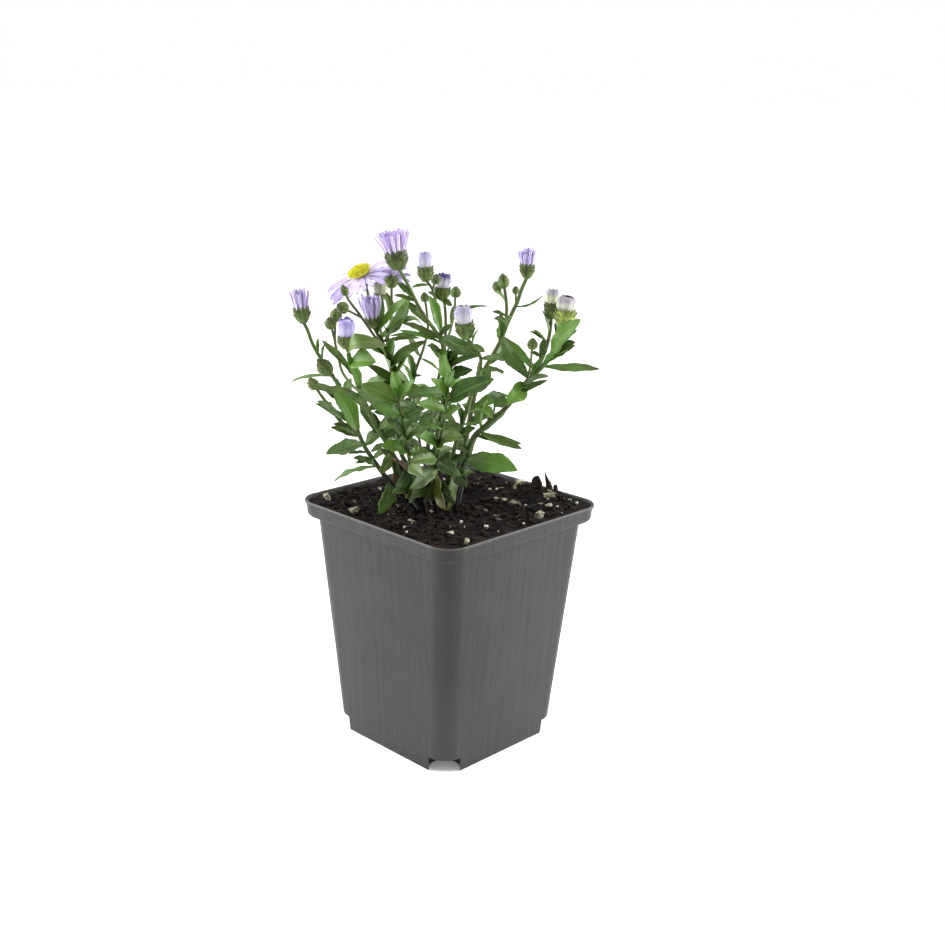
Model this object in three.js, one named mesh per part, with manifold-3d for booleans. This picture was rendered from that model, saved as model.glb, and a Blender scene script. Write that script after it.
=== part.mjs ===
// A dwarf Michaelmas daisy in its square nursery pot. Millimetres, +Z up.
// The origin is the middle of the pot's underside, and the pot's walls face along X and Y.

import * as THREE from 'three';
import { mergeVertices } from 'three/addons/utils/BufferGeometryUtils.js';
import Module from 'manifold-3d';

const wasm = await Module();
wasm.setup();

// Pot: outside widths are across the flats.
const POT_HEIGHT = 100;
const RIM_WIDTH = 88.6;
const RIM_FOOT_WIDTH = 87.2;
const RIM_HEIGHT = 6.8;
const RIM_CORNER = 9.5;
const BODY_TOP_WIDTH = 79.9;
const BODY_FOOT_WIDTH = 65.3;
const BODY_CORNER = 8.6;
const WALL = 1.2;
const EDGE = 0.5;
const CORNER_STEPS = 4;
const NOTCH_WIDTH = 12.6;
const NOTCH_REACH = 15;
const NOTCH_HEIGHT = 6;
const DRAIN_RADIUS = 3;
const DRAIN_OFFSET = 15;
const DRAIN_SIDES = 12;
const SLOT_WIDTH = 7;
const SLOT_HEIGHT = 3;

// Soil
const SOIL_LEVEL = 96.6;
const SOIL_BUMP = 0.8;
const SOIL_BANK = 1.7;
const SOIL_ROWS = 5;
const CRUMBS = 18;
const CRUMB_NEAREST = 17;
const CRUMB_SPREAD = 21;
const CRUMB_SMALLEST = 1;
const CRUMB_RANGE = 1.6;
const CROWN = { x: -1.3, y: -4.7 };
const CROWN_CLEARING = 26;
const HOLE_DEPTH = 13;
const HOLE_SIDES = 6;

// Plant
const GAP = 0.3;
const BLADE_THICKNESS = 0.62;
const STEM_SIDES = 5;
const BURIED = 11;
const STEM_HOLE_PLAY = 1;
const LEAF_FOLD = 0.25;
const LEAF_ARCH = 0.07;
const BRACT_TIP_LIFT = 0.7;
const BRUSH_RAYS = 8;
const BRUSH_RAY_WIDTH = 1.9;
const RING_RAY_WIDTH = 2.2;
const RING_RAY_TILT = 0.16;
const BUD_SIDES = 6;
const HEAD_SIDES = 10;
const VALLEY = 0.86;

// Where the plant's points were sighted from. Each point of the plant is given as [across, up, toward]:
// where it lines up against the upright plane through the pot's middle, and how far in front of it it stands.
const EYE = { across: 1.2, up: 263, toward: 514.2 };

const UP = new THREE.Vector3(0, 0, 1);
const TOWARD_EYE = new THREE.Vector3(0, -1, 0);
const GOLDEN_ANGLE = Math.PI * (3 - Math.sqrt(5));

// a repeatable draw between 0 and 1 for the number k
function draw(k) {
  const wide = Math.sin(k * 12.9898 + 4.1) * 43758.5453;
  return wide - Math.floor(wide);
}

// the place of a sighted point in the plant's own frame: x across, y away from the eye, z up
function sighted([across, up, toward]) {
  const share = toward / EYE.toward;
  return new THREE.Vector3(
    across + share * (EYE.across - across),
    -toward,
    up + share * (EYE.up - up),
  );
}

// Closed meshes and solids

function geometryFrom(points, faces) {
  const geometry = new THREE.BufferGeometry();
  geometry.setFromPoints(points);
  geometry.setIndex(faces.flat());
  return geometry;
}

function solidOf(geometry) {
  const bare = geometry.clone();
  bare.deleteAttribute('normal');
  bare.deleteAttribute('uv');
  const merged = mergeVertices(bare, 1e-5);
  return new wasm.Manifold(new wasm.Mesh({
    numProp: 3,
    vertProperties: new Float32Array(merged.attributes.position.array),
    triVerts: new Uint32Array(merged.index.array),
  }));
}

// joins solids into one body: a scrap that came loose or a hollow that was sealed is left out
function joined(solids) {
  const bodies = wasm.Manifold.union(solids).decompose();
  return bodies.reduce((best, body) => (body.volume() > best.volume() ? body : best));
}

function geometryOf(solid) {
  const mesh = solid.getMesh();
  const geometry = new THREE.BufferGeometry();
  geometry.setAttribute('position', new THREE.BufferAttribute(new Float32Array(mesh.vertProperties), 3));
  geometry.setIndex(new THREE.BufferAttribute(new Uint32Array(mesh.triVerts), 1));
  return geometry;
}

// a closed skin over rings of points that run the same way round, with a fan over each end
function skin(rings) {
  const sides = rings[0].length;
  const points = rings.flat();
  const middle = ring => ring.reduce((sum, p) => sum.add(p), new THREE.Vector3()).divideScalar(sides);
  const first = points.push(middle(rings[0])) - 1;
  const last = points.push(middle(rings.at(-1))) - 1;
  const lastRow = (rings.length - 1) * sides;
  const faces = [];
  for (let side = 0; side < sides; side++) {
    const next = (side + 1) % sides;
    faces.push([first, next, side], [last, lastRow + side, lastRow + next]);
    for (let row = 0; row < lastRow; row += sides) {
      faces.push([row + side, row + next, row + next + sides]);
      faces.push([row + side, row + next + sides, row + side + sides]);
    }
  }
  return geometryFrom(points, faces);
}

// two directions square to an axis, with which it makes a right-handed set
function squareTo(axis) {
  const lean = Math.abs(axis.z) > 0.9 ? new THREE.Vector3(1, 0, 0) : UP;
  const first = new THREE.Vector3().crossVectors(lean, axis).normalize();
  return [first, new THREE.Vector3().crossVectors(axis, first)];
}

// a turned form on an axis: each row of the profile is [height, radius, lift of every other point],
// and every other point's radius is drawn in, so that ridges run up the form
function turned(base, axis, profile, sides, drawnIn = 1) {
  const [first, second] = squareTo(axis);
  const rings = profile.map(([height, radius, lift = 0]) => Array.from({ length: sides }, (_, side) => {
    const angle = (2 * Math.PI * side) / sides;
    const ridge = side % 2 === 0;
    const out = ridge ? radius : radius * drawnIn;
    return base.clone()
      .addScaledVector(axis, height + (ridge ? lift : 0))
      .addScaledVector(first, out * Math.cos(angle))
      .addScaledVector(second, out * Math.sin(angle));
  }));
  return skin(rings);
}

// a round stem along points, tapering from one radius to another
function stemAlong(points, [thick, thin], sides) {
  const directions = points.map((_, k) => {
    const ahead = points[Math.min(k + 1, points.length - 1)];
    return ahead.clone().sub(points[Math.max(k - 1, 0)]).normalize();
  });
  let [side] = squareTo(directions[0]);
  const rings = points.map((point, k) => {
    side = side.clone().addScaledVector(directions[k], -side.dot(directions[k])).normalize();
    const other = new THREE.Vector3().crossVectors(directions[k], side);
    const radius = thick + (thin - thick) * (k / (points.length - 1));
    return Array.from({ length: sides }, (_, n) => {
      const angle = (2 * Math.PI * n) / sides;
      return point.clone()
        .addScaledVector(side, radius * Math.cos(angle))
        .addScaledVector(other, radius * Math.sin(angle));
    });
  });
  return skin(rings);
}

// a blade of even thickness on a grid of points, rows from root to tip; both faces are split alike
function blade(rows) {
  const last = rows.length - 1;
  const edge = rows[0].length - 1;
  const faceAt = (row, column) => {
    const along = rows[Math.min(row + 1, last)][column].clone().sub(rows[Math.max(row - 1, 0)][column]);
    const across = rows[row][Math.min(column + 1, edge)].clone().sub(rows[row][Math.max(column - 1, 0)]);
    return across.cross(along).normalize();
  };
  const shifted = side => rows.flatMap((row, r) => row.map((point, c) => (
    point.clone().addScaledVector(faceAt(r, c), side * BLADE_THICKNESS / 2))));
  const count = rows.length * (edge + 1);
  const at = (row, column) => row * (edge + 1) + column;
  const faces = [];
  for (let r = 0; r < last; r++) {
    for (let c = 0; c < edge; c++) {
      const [a, b, d, e] = [at(r, c), at(r, c + 1), at(r + 1, c + 1), at(r + 1, c)];
      faces.push([a, b, d], [a, d, e]);
      faces.push([count + d, count + b, count + a], [count + e, count + d, count + a]);
    }
  }
  const rim = [];
  for (let c = 0; c < edge; c++) rim.push(at(0, c));
  for (let r = 0; r < last; r++) rim.push(at(r, edge));
  for (let c = edge; c > 0; c--) rim.push(at(last, c));
  for (let r = last; r > 0; r--) rim.push(at(r, 0));
  rim.forEach((from, k) => {
    const to = rim[(k + 1) % rim.length];
    faces.push([count + from, count + to, to], [count + from, to, from]);
  });
  return geometryFrom([...shifted(1), ...shifted(-1)], faces);
}

// Pot

function roundedSquare(width, corner, height) {
  const ring = [];
  for (let quarter = 0; quarter < 4; quarter++) {
    for (let step = 0; step <= CORNER_STEPS; step++) {
      const angle = (quarter + step / CORNER_STEPS) * (Math.PI / 2);
      const turn = (quarter + 0.5) * (Math.PI / 2);
      const flat = width / 2 - corner;
      ring.push(new THREE.Vector3(
        Math.sign(Math.cos(turn)) * flat + corner * Math.cos(angle),
        Math.sign(Math.sin(turn)) * flat + corner * Math.sin(angle),
        height,
      ));
    }
  }
  return ring;
}

const RIM_FOOT = POT_HEIGHT - RIM_HEIGHT;

// the width of the tapered body at a height, less a wall on each side
function bodyWidth(height, wall = 0) {
  return BODY_FOOT_WIDTH + (BODY_TOP_WIDTH - BODY_FOOT_WIDTH) * (height / RIM_FOOT) - 2 * wall;
}

// the width of the band round its mouth at a height, less a wall on each side
function rimWidth(height, wall = 0) {
  return RIM_FOOT_WIDTH + (RIM_WIDTH - RIM_FOOT_WIDTH) * ((height - RIM_FOOT) / RIM_HEIGHT) - 2 * wall;
}

// the inner face of the pot from its floor to just over the step under its rim, drawn in by a margin
function insideRings(margin) {
  const wall = WALL + margin;
  const corner = BODY_CORNER - wall;
  const step = RIM_FOOT + wall;
  return [
    roundedSquare(bodyWidth(wall, wall), corner, wall),
    roundedSquare(bodyWidth(RIM_FOOT, wall), corner, step - 0.4),
    roundedSquare(rimWidth(step, wall) - 1, RIM_CORNER - wall, step),
    roundedSquare(rimWidth(step + 0.5, wall), RIM_CORNER - wall, step + 0.5),
  ];
}

// the drain channels that cut the pot's bottom corners, or the floor raised over them
function cornerChannels(grown, height) {
  const half = NOTCH_WIDTH / 2 + grown;
  const outline = new THREE.Shape();
  outline.moveTo(20, -half);
  outline.lineTo(20, half);
  outline.absarc(half - NOTCH_REACH - grown, 0, half, Math.PI / 2, 1.5 * Math.PI);
  const channels = [0, 1, 2, 3].map(corner => {
    const depth = height + 1;
    const channel = new THREE.ExtrudeGeometry(outline, { depth, bevelEnabled: false, curveSegments: 5 });
    const diagonal = (corner + 0.5) * (Math.PI / 2);
    const reach = BODY_FOOT_WIDTH / Math.SQRT2;
    channel.translate(reach, 0, -1);
    channel.rotateZ(diagonal);
    return solidOf(channel);
  });
  return wasm.Manifold.union(channels);
}

function pot() {
  const outside = solidOf(skin([
    roundedSquare(BODY_FOOT_WIDTH - 2 * EDGE, BODY_CORNER, 0),
    roundedSquare(bodyWidth(EDGE), BODY_CORNER, EDGE),
    roundedSquare(BODY_TOP_WIDTH, BODY_CORNER, RIM_FOOT),
    roundedSquare(RIM_FOOT_WIDTH - 2 * EDGE, RIM_CORNER, RIM_FOOT),
    roundedSquare(RIM_FOOT_WIDTH, RIM_CORNER, RIM_FOOT + EDGE),
    roundedSquare(RIM_WIDTH, RIM_CORNER, POT_HEIGHT - EDGE),
    roundedSquare(RIM_WIDTH - 0.6, RIM_CORNER, POT_HEIGHT),
  ]));
  const mouth = roundedSquare(rimWidth(POT_HEIGHT + 1, WALL), RIM_CORNER - WALL, POT_HEIGHT + 1);
  const inside = solidOf(skin([...insideRings(0), mouth]))
    .subtract(cornerChannels(WALL, NOTCH_HEIGHT + WALL));
  const drains = [0, 1, 2, 3].flatMap(side => {
    const hole = new THREE.CylinderGeometry(DRAIN_RADIUS, DRAIN_RADIUS, 4 * WALL, DRAIN_SIDES);
    hole.rotateX(Math.PI / 2);
    hole.translate(DRAIN_OFFSET, 0, 0);
    hole.rotateZ(side * Math.PI / 2);
    const slot = new THREE.BoxGeometry(SLOT_WIDTH, SLOT_HEIGHT, 4 * WALL);
    slot.translate(BODY_FOOT_WIDTH / Math.SQRT2 - NOTCH_REACH, 0, NOTCH_HEIGHT);
    slot.rotateZ((side + 0.5) * Math.PI / 2);
    return [solidOf(hole), solidOf(slot)];
  });
  const cuts = [inside, cornerChannels(0, NOTCH_HEIGHT), ...drains];
  return cuts.reduce((body, cut) => body.subtract(cut), outside);
}

// Plant: each shoot is a list of sighted points from its foot or its parent, with what grows on it.
// A leaf is [height it leaves at, [across, up, toward] of its tip, width, degrees turned to the eye, arch].

const SHOOTS = [
  {
    name: 'stem_left', foot: [-13.1, 6.3], thick: [1.2, 0.72],
    route: [
      [-19.4, 102.5, 7.9], [-25.9, 109.4, 9.3], [-30.2, 115.3, 9.8], [-34.1, 121.2, 8.4], [-37, 127.6, 6.8],
      [-40.4, 136, 4.2], [-43.8, 144.3, 0.5], [-47.2, 150.7, -3], [-52.1, 158, -6], [-55, 163.4, -7],
      [-56.7, 168.3, -8], [-58.3, 171.5, -8],
    ],
    head: { kind: 'brush', aim: [-60.4, 184.7, -8], cup: [3, 6], length: 7, spread: 0.22 },
    leaves: [
      [107.3, [-28.9, 93.6, 17.1], 7.4, 70], [113.5, [-46.9, 107, 5.5], 4.2, 15],
      [116.3, [-38.1, 114.7, 17.9], 2.6, 30], [122.1, [-29.2, 128.4, -7.2], 4.6, 40],
      [123, [-50, 118.4, 20.6], 6.2, 40], [127.8, [-46.4, 146, 9.3], 7.4, 70],
      [131.1, [-39.5, 149.3, -2.9], 5.2, 60], [137.9, [-39.9, 149.7, -14], 4.2, 40],
      [150.2, [-63.5, 147.7, -11.8], 2, 30], [156, [-49.2, 164.7, -3], 2.2, 40],
    ],
    shoots: [
      {
        from: 126.1, thick: [0.9, 0.6], bud: [2.1, 4.6],
        route: [
          [-40.9, 129.5, 9.7], [-44.9, 133, 11.4], [-47.8, 137.4, 13], [-51.2, 141.8, 14.2],
          [-53.6, 145.3, 14.4],
        ],
        leaves: [[133, [-53.4, 140.2, 16.8], 4.2, 50]],
      },
      {
        from: 148.2, thick: [0.6, 0.5], bud: [2.9, 8],
        route: [[-48.5, 151.6, 1]],
      },
    ],
  },
  {
    name: 'stem_left_front', foot: [-10.2, 8.8], thick: [1.35, 0.7],
    route: [
      [-14, 102.5, 10.9], [-18.6, 110.4, 13.2], [-22.3, 117.3, 14.7], [-25.7, 123.7, 16.2],
      [-29.2, 129.1, 16.7], [-32.1, 135, 17.2], [-35, 141.4, 18.2], [-37.2, 146.8, 18.8],
      [-39.1, 153.2, 19], [-40.5, 159.1, 19.5], [-41.5, 161.7, 19.5],
    ],
    head: { kind: 'closed', aim: [-41.9, 174.3, 20], cup: [3.1, 4.6], length: 6.4 },
    leaves: [
      [118.2, [-23, 106.9, 17.5], 3.8, 50], [123.2, [-32.1, 119.7, 23.5], 2.4, 30],
      [129.1, [-18.3, 137, 22.1], 4.6, 60], [135, [-42.8, 143.8, 26.5], 4.2, 60],
      [146.6, [-26, 139.2, 25.9], 6.4, 60], [156.2, [-30, 156.4, 28], 7.4, 60],
      [159.8, [-25.7, 162.9, 24], 6.2, 60, 0.5],
    ],
    shoots: [
      {
        from: 143.9, thick: [0.65, 0.5], bud: [2.3, 4.8],
        route: [
          [-39.9, 147.3, 13.2], [-43.3, 152.2, 8], [-44.7, 157.6, 5], [-46, 163.5, 3], [-46.1, 168.4, 2.5],
          [-45.8, 172.3, 2],
        ],
        shoots: [
          {
            from: 164, thick: [0.55, 0.5], bud: [2.1, 4.6],
            route: [[-47.4, 169.6, 6]],
          },
        ],
      },
    ],
  },
  {
    name: 'stem_left_tall', foot: [-7.6, 1], thick: [1.25, 0.65],
    route: [
      [-10.9, 103.5, -0.2], [-15.4, 111.4, -1.8], [-19.4, 118.3, -3.4], [-21.1, 125.2, -5],
      [-21.3, 133.1, -6.1], [-21.7, 141, -7.3], [-23.2, 148.8, -7.9], [-25.1, 157.2, -8],
      [-27.6, 164.5, -7], [-30, 168.4, -5], [-31, 170.2, -4],
    ],
    head: { kind: 'brush', aim: [-33.5, 185.1, -1], cup: [2.7, 4.6], length: 8.6, spread: 0.42 },
    leaves: [
      [125.2, [-13.9, 135.1, -12.8], 1.8, 30], [129.1, [-11.5, 126.2, -12.1], 5, 40],
      [135.1, [-32, 143.9, -13.5], 5, 40], [139, [-12, 137.1, 4.1], 5.6, 50],
      [143.9, [-33.1, 137, 2.1], 5, 60], [146.9, [-11.8, 144.3, -0.5], 5.8, 60],
      [149.3, [-34, 147.1, -14.8], 4.6, 50], [153.3, [-10.1, 165.2, -1], 4.8, 60, 0.14],
      [164.4, [-12.9, 166.3, -9], 2, 40], [158.4, [-33.9, 162.7, 1], 3.4, 60],
      [164, [-10.9, 169.2, -15], 2.6, 40, 0.6], [166, [-17.1, 183.2, 2], 6.6, 70, -0.15],
    ],
    shoots: [
      {
        from: 155.7, thick: [0.75, 0.55],
        route: [
          [-27.6, 162.6, -13], [-30.5, 170.4, -17], [-32.2, 178.2, -19], [-33.4, 184.1, -19],
          [-34, 186.6, -18.7],
        ],
        head: {
          kind: 'flower', aim: [-38.3, 195.2, -15.5], cup: [3.3, 4], rays: 15, reach: 13.8, lift: -0.22,
          disc: [5, 3],
        },
      },
      {
        from: 161.6, thick: [0.65, 0.5], bud: [1.4, 3.8],
        route: [
          [-30.5, 166.5, -2], [-33.9, 171.4, 3], [-37, 175.8, 7], [-40.7, 180.6, 9.5], [-41.6, 182.7, 10],
        ],
        shoots: [
          {
            from: 173.8, thick: [0.5, 0.45], bud: [2.2, 4.8],
            route: [[-41.7, 176.9, 12]],
          },
        ],
      },
      {
        from: 163.5, thick: [0.6, 0.5],
        route: [[-28.5, 170.4, -12], [-29.3, 177.2, -15], [-28.8, 180.8, -16]],
        head: { kind: 'closed', aim: [-28.2, 188, -16], cup: [2.4, 2.6], length: 4.4 },
      },
      {
        from: 159.6, thick: [0.7, 0.55],
        route: [[-25.4, 166.5, -16.5], [-24.1, 174.3, -22], [-24.1, 181.2, -26.2], [-24.1, 186.1, -28.4]],
        head: {
          kind: 'flower', aim: [-24.5, 196.8, -36.4], cup: [2.6, 3.6], rays: 11, reach: 9, lift: 0.05,
          disc: [2.6, 1.7],
        },
      },
    ],
  },
  {
    name: 'stem_middle', foot: [-4.4, 4.2], thick: [1.25, 0.65],
    route: [
      [-5.6, 102.6, 5.9], [-6.6, 111.4, 5.7], [-6.4, 120.3, 5.4], [-5.2, 130.2, 5.1], [-3.6, 139.1, 4.9],
      [-2.6, 147.9, 4.7], [-2.6, 157.7, 5], [-4.6, 165.6, 6], [-7.5, 170, 7], [-10.4, 173.9, 8],
      [-13.3, 178.3, 9], [-18.8, 188.9, 9.5], [-21.4, 193.1, 10.5],
    ],
    head: { kind: 'brush', aim: [-24.3, 208, 10], cup: [4, 6.4], length: 8.4, spread: 0.4, rays: 11 },
    leaves: [
      [107.5, [-14.5, 113.4, 15], 4.6, 50], [114.4, [3.2, 119.4, 8.5], 4.4, 50],
      [136.1, [1.8, 132.7, 16.4], 3, 40], [144.5, [-17.7, 143.3, 15.5], 5, 60],
      [149.4, [8.1, 154.1, 12], 5.2, 60], [163.3, [1.6, 145.4, 12.4], 5.6, 80],
      [166.5, [11.2, 159.3, 14], 6, 60, 0.12],
    ],
    shoots: [
      {
        from: 162.6, thick: [0.65, 0.5],
        route: [[-5, 169.5, 1], [-6, 175.4, -4], [-7, 181.2, -7], [-8.7, 186.1, -9], [-10.8, 188.8, -10]],
        head: { kind: 'closed', aim: [-11.8, 202.5, -10], cup: [2.9, 5.4], length: 5.2 },
        leaves: [[187.1, [-16.2, 186.1, -6], 1.6, 30]],
        shoots: [
          {
            from: 185.1, thick: [0.5, 0.45], bud: [1.8, 4],
            route: [[-7.4, 188.2, -6]],
          },
        ],
      },
    ],
  },
  {
    name: 'stem_middle_back', foot: [-3.5, -3.6], thick: [1.2, 0.6],
    route: [
      [-4.6, 104.5, -7.3], [-7.6, 112.4, -11.9], [-9, 120.3, -15.6], [-8.8, 128.2, -19.2],
      [-7.8, 137.1, -22.9], [-6.2, 145.9, -26.7], [-4.6, 154.8, -29.5], [-3.2, 163.6, -31],
      [-2.9, 172.4, -32], [-3.6, 180.3, -32], [-4.6, 181.6, -32],
    ],
    head: { kind: 'closed', aim: [-3.8, 193.5, -32], cup: [2.9, 5], length: 5.6 },
    leaves: [
      [126.2, [-21.3, 135.1, -31.8], 4.8, 40], [131.2, [2.3, 139.1, -37.1], 5, 40],
      [143, [-16.3, 146.9, -39.7], 5, 40], [149.9, [5.7, 147, -41.8], 4.6, 40],
      [157.7, [-8.5, 164.6, -38], 3, 40], [178.3, [-8, 185.6, -29], 2.6, 40],
    ],
    shoots: [
      {
        from: 163.6, thick: [0.6, 0.5], bud: [2.2, 4.2],
        route: [[-1.1, 169.5, -35], [0.3, 176.4, -37], [0.6, 182.7, -38]],
        leaves: [[176.4, [13, 179.3, -35], 2.2, 20]],
      },
    ],
  },
  {
    name: 'stem_back_left', foot: [-9.5, -3.3], thick: [1.1, 0.5], bud: [1.7, 3.6],
    route: [
      [-12.1, 104.5, -6.7], [-15.4, 112.4, -10.9], [-16.9, 120.3, -14.6], [-16.7, 130.1, -18.4],
      [-16.6, 140, -22.2], [-15.8, 148.9, -24.9], [-13.7, 155.7, -27], [-11.4, 162.6, -28],
      [-9.9, 169.5, -29], [-10.2, 175.3, -29], [-11, 180.7, -29],
    ],
    leaves: [
      [124.2, [-29.1, 130.1, -28.4], 5.4, 40], [132.1, [-2.6, 135.1, -35.8], 5, 30],
      [138, [-30.1, 144.9, -36.6], 5.4, 40], [144.9, [-24.2, 155.7, -38], 4.2, 40],
      [150.3, [-12, 151.2, -21], 1.6, 30], [158.7, [-17.3, 167.5, -38], 2.4, 40],
    ],
  },
  {
    name: 'stem_front_right', foot: [-0.8, 7.9], thick: [1.2, 0.6],
    route: [
      [-0.9, 103.6, 9.8], [-0.3, 112.5, 12.1], [1.1, 120.4, 14.4], [3.5, 129.3, 15.7], [5.5, 135.7, 16.7],
      [6.7, 140.6, 17.3], [8.4, 146.5, 18.3], [10.6, 152.9, 20], [11.1, 158.3, 21.5], [9.1, 162.7, 22.5],
      [5.3, 166.6, 23],
    ],
    head: { kind: 'closed', aim: [3.1, 180.5, 24], cup: [3.2, 6], length: 6.2 },
    leaves: [
      [109.5, [9.6, 112, 22.1], 4.4, 50], [114.4, [-1, 95.5, 16.1], 6.6, 80],
      [115.3, [7, 106.9, 20.5], 4.6, 60], [135.2, [12.5, 138.2, 25], 1.6, 20],
      [158.3, [20.7, 158.3, 29], 2.8, 40],
    ],
  },
  {
    name: 'stem_back_right', foot: [-0.5, -1.3], thick: [1.35, 0.8],
    route: [
      [0.7, 104.6, -3.9], [2.8, 113.5, -7.5], [5.6, 123.4, -11.3], [7.2, 133.2, -15.1], [8.6, 142.1, -18.4],
      [10.4, 149, -20.9], [13, 154.9, -22.5], [15.7, 159.8, -24], [18.6, 165.7, -25.5], [20.8, 172, -27],
      [22.8, 176.9, -28], [24.7, 181.3, -28.5], [26.2, 186.2, -29], [28.1, 190.9, -29],
    ],
    head: { kind: 'brush', aim: [28.3, 205.3, -29], cup: [2.8, 5.4], length: 6, spread: 0.3 },
    leaves: [
      [114.5, [16.9, 117, -1.3], 5.4, 40], [126.3, [-1.7, 132.2, -15.5], 5, 40],
      [138.1, [22.3, 144.1, -19.5], 4.8, 40], [146, [0.8, 147.9, -21.8], 5, 40],
      [155.8, [21.3, 164.2, -37], 4, 40], [167.8, [17.8, 175.2, -20], 3, 5],
      [179.4, [34.5, 184.1, -25], 1.4, 30, -0.15],
    ],
    shoots: [
      {
        from: 167.6, thick: [0.85, 0.7], bud: [2.3, 5.4],
        route: [[20.4, 173.4, -30], [20.7, 178.5, -33], [20.1, 183.5, -35], [19.5, 186.9, -36]],
        shoots: [
          {
            from: 181.3, thick: [0.5, 0.45], bud: [2, 4.2],
            route: [[17.6, 185.8, -38]],
          },
        ],
      },
      {
        from: 180.3, thick: [0.5, 0.45], bud: [1.3, 3.2],
        route: [[24, 184.8, -25]],
      },
    ],
  },
  {
    name: 'stem_right', foot: [2.1, 3.7], thick: [1.35, 0.8],
    route: [
      [2.8, 104.6, 4], [4.1, 112.5, 4.3], [6.6, 119.9, 4.5], [9.1, 126.8, 4.9], [14, 131.8, 5.5],
      [19.9, 137.2, 6], [24.8, 143.1, 6.6], [29.6, 150, 7], [34.5, 154.9, 8], [38.4, 159.9, 8.5],
      [41.3, 164.8, 9], [42.1, 167.5, 9.5], [43.4, 171.3, 9.5],
    ],
    head: { kind: 'closed', aim: [43.9, 184.7, 9.5], cup: [3.7, 7.2], length: 4.8 },
    leaves: [
      [116.6, [27.2, 113.1, 17], 8.8, 50, 0.12], [128.8, [28.5, 122.2, 15.3], 4.8, 20, -0.05],
      [130.1, [14.4, 142.4, 9.6], 4.8, 50], [140.6, [14.9, 144.9, -4.6], 4, 50],
      [149.2, [22.1, 140.6, 15.8], 6.6, 50], [146.8, [38.2, 152.2, 18], 4, 40],
      [150.9, [19.6, 167.6, -5], 6, 60, 0.2], [156, [58.2, 155.5, 3], 3.4, 60, 0.01],
      [159.9, [49.6, 175.1, 17], 7.4, 70], [159.9, [48, 166, 15], 5.4, 60],
    ],
    shoots: [
      {
        from: 153, thick: [0.85, 0.7],
        route: [[35.5, 159.8, 4], [37.2, 165.7, 2], [38, 171.6, 1], [38.1, 175.3, 0.5]],
        head: { kind: 'closed', aim: [38.5, 187, 0], cup: [2.7, 5.8], length: 5 },
        leaves: [[164.7, [31.1, 170.6, 5], 1.6, 30]],
      },
      {
        from: 149.5, thick: [0.55, 0.45], bud: [1.9, 4],
        route: [[30.6, 155.4, 12.5], [30.9, 159.8, 14.5], [31.1, 163, 15]],
      },
    ],
  },
  {
    name: 'stem_low_right', foot: [3.6, -2.8], thick: [1.05, 0.5], bud: [2.3, 4.8],
    route: [
      [4.8, 105.6, -7.2], [6.2, 112.5, -11.9], [7.8, 119.4, -17.5], [9.8, 126.1, -23], [13.5, 131.1, -27.4],
      [16.3, 135.7, -29.8], [17.3, 140.6, -31.2],
    ],
    leaves: [
      [114.5, [18.9, 117, -27.3], 5.4, 40], [122.4, [0.3, 127.3, -36.1], 5, 40],
      [128.3, [21.8, 138.7, -39.1], 3.6, 40], [134.2, [4.2, 140.1, -43.2], 4.6, 40],
    ],
  },
  {
    name: 'stem_front', foot: [-5.2, 9.8], thick: [1.1, 0.5], bud: [1.2, 3],
    route: [
      [-6.2, 102.5, 13.9], [-6.4, 109.5, 20.3], [-5.4, 117.4, 26.7], [-4.4, 125.3, 30], [-3.1, 132.2, 32.5],
      [-2.1, 138.1, 34], [-1.7, 142, 34.7],
    ],
    leaves: [
      [106.8, [-18.1, 100.6, 37.1], 5, 60], [106.8, [0.8, 103.2, 35.8], 4.4, 60],
      [114.4, [-16.3, 104.5, 39.7], 5.6, 60], [116.1, [3.5, 110.4, 40.2], 4.6, 50],
      [117.7, [-16.3, 115.8, 40.8], 5.6, 50], [122.7, [-12.8, 126.1, 44], 6.6, 60],
      [123.5, [4.4, 127.1, 44.9], 7.4, 60], [134.2, [3.7, 138.6, 48.9], 4.2, 60],
      [137.1, [-13.9, 140, 45.8], 5, 60], [140.5, [16.6, 150.6, 38], 7.4, 60, 0.1],
      [141.5, [-8.5, 150.4, 40], 4.6, 60], [141.8, [0.8, 153.8, 36], 4.2, 60],
    ],
  },
  {
    name: 'stem_front_left', foot: [-9.3, 12.6], thick: [1.1, 0.5], bud: [1.2, 3],
    route: [
      [-12.1, 102.5, 17.4], [-14.7, 109.4, 23.8], [-16.4, 116.3, 28.8], [-17.7, 123.2, 32.2],
      [-18.8, 130.1, 34.6], [-20.3, 136.5, 36.1], [-21.3, 141, 36.7],
    ],
    leaves: [
      [107.5, [-23.3, 102.9, 37.9], 5, 60], [115, [-10.5, 109.6, 44.3], 4.6, 50],
      [120, [-27.9, 122.2, 39.3], 5.4, 50], [124.2, [-9, 130.7, 39.6], 4.4, 50],
      [124.9, [-25.2, 131.4, 42.5], 5.6, 50], [133.1, [-10.5, 138.1, 41], 5, 60],
      [135.1, [-31.1, 138.9, 42.9], 5.2, 60], [140.1, [-36, 147.4, 39.2], 6.4, 60],
      [140.6, [-14.4, 149.3, 42.1], 5.2, 60], [140.8, [-23.7, 152.8, 37], 4.8, 60],
    ],
  },
  {
    name: 'stem_low_back', foot: [-6.5, -9.9], thick: [1.05, 0.5], bud: [2.2, 4.6],
    route: [
      [-7.2, 106.5, -12.9], [-10.5, 115.4, -24.2], [-12.5, 124.3, -31.9], [-13.9, 133.1, -37.6],
      [-15.2, 142, -42.3],
    ],
    leaves: [
      [110.4, [-20.4, 113.3, -32], 5.2, 40], [116.4, [0.3, 122.3, -38.7], 5.2, 40],
      [119.3, [-26.2, 125.2, -43], 5.2, 40], [126.2, [-1.7, 132.2, -50.5], 5, 40],
      [130.2, [-27.2, 139, -53.1], 5, 40], [139, [-12.4, 147.9, -59.8], 4, 40],
    ],
    shoots: [
      {
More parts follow.
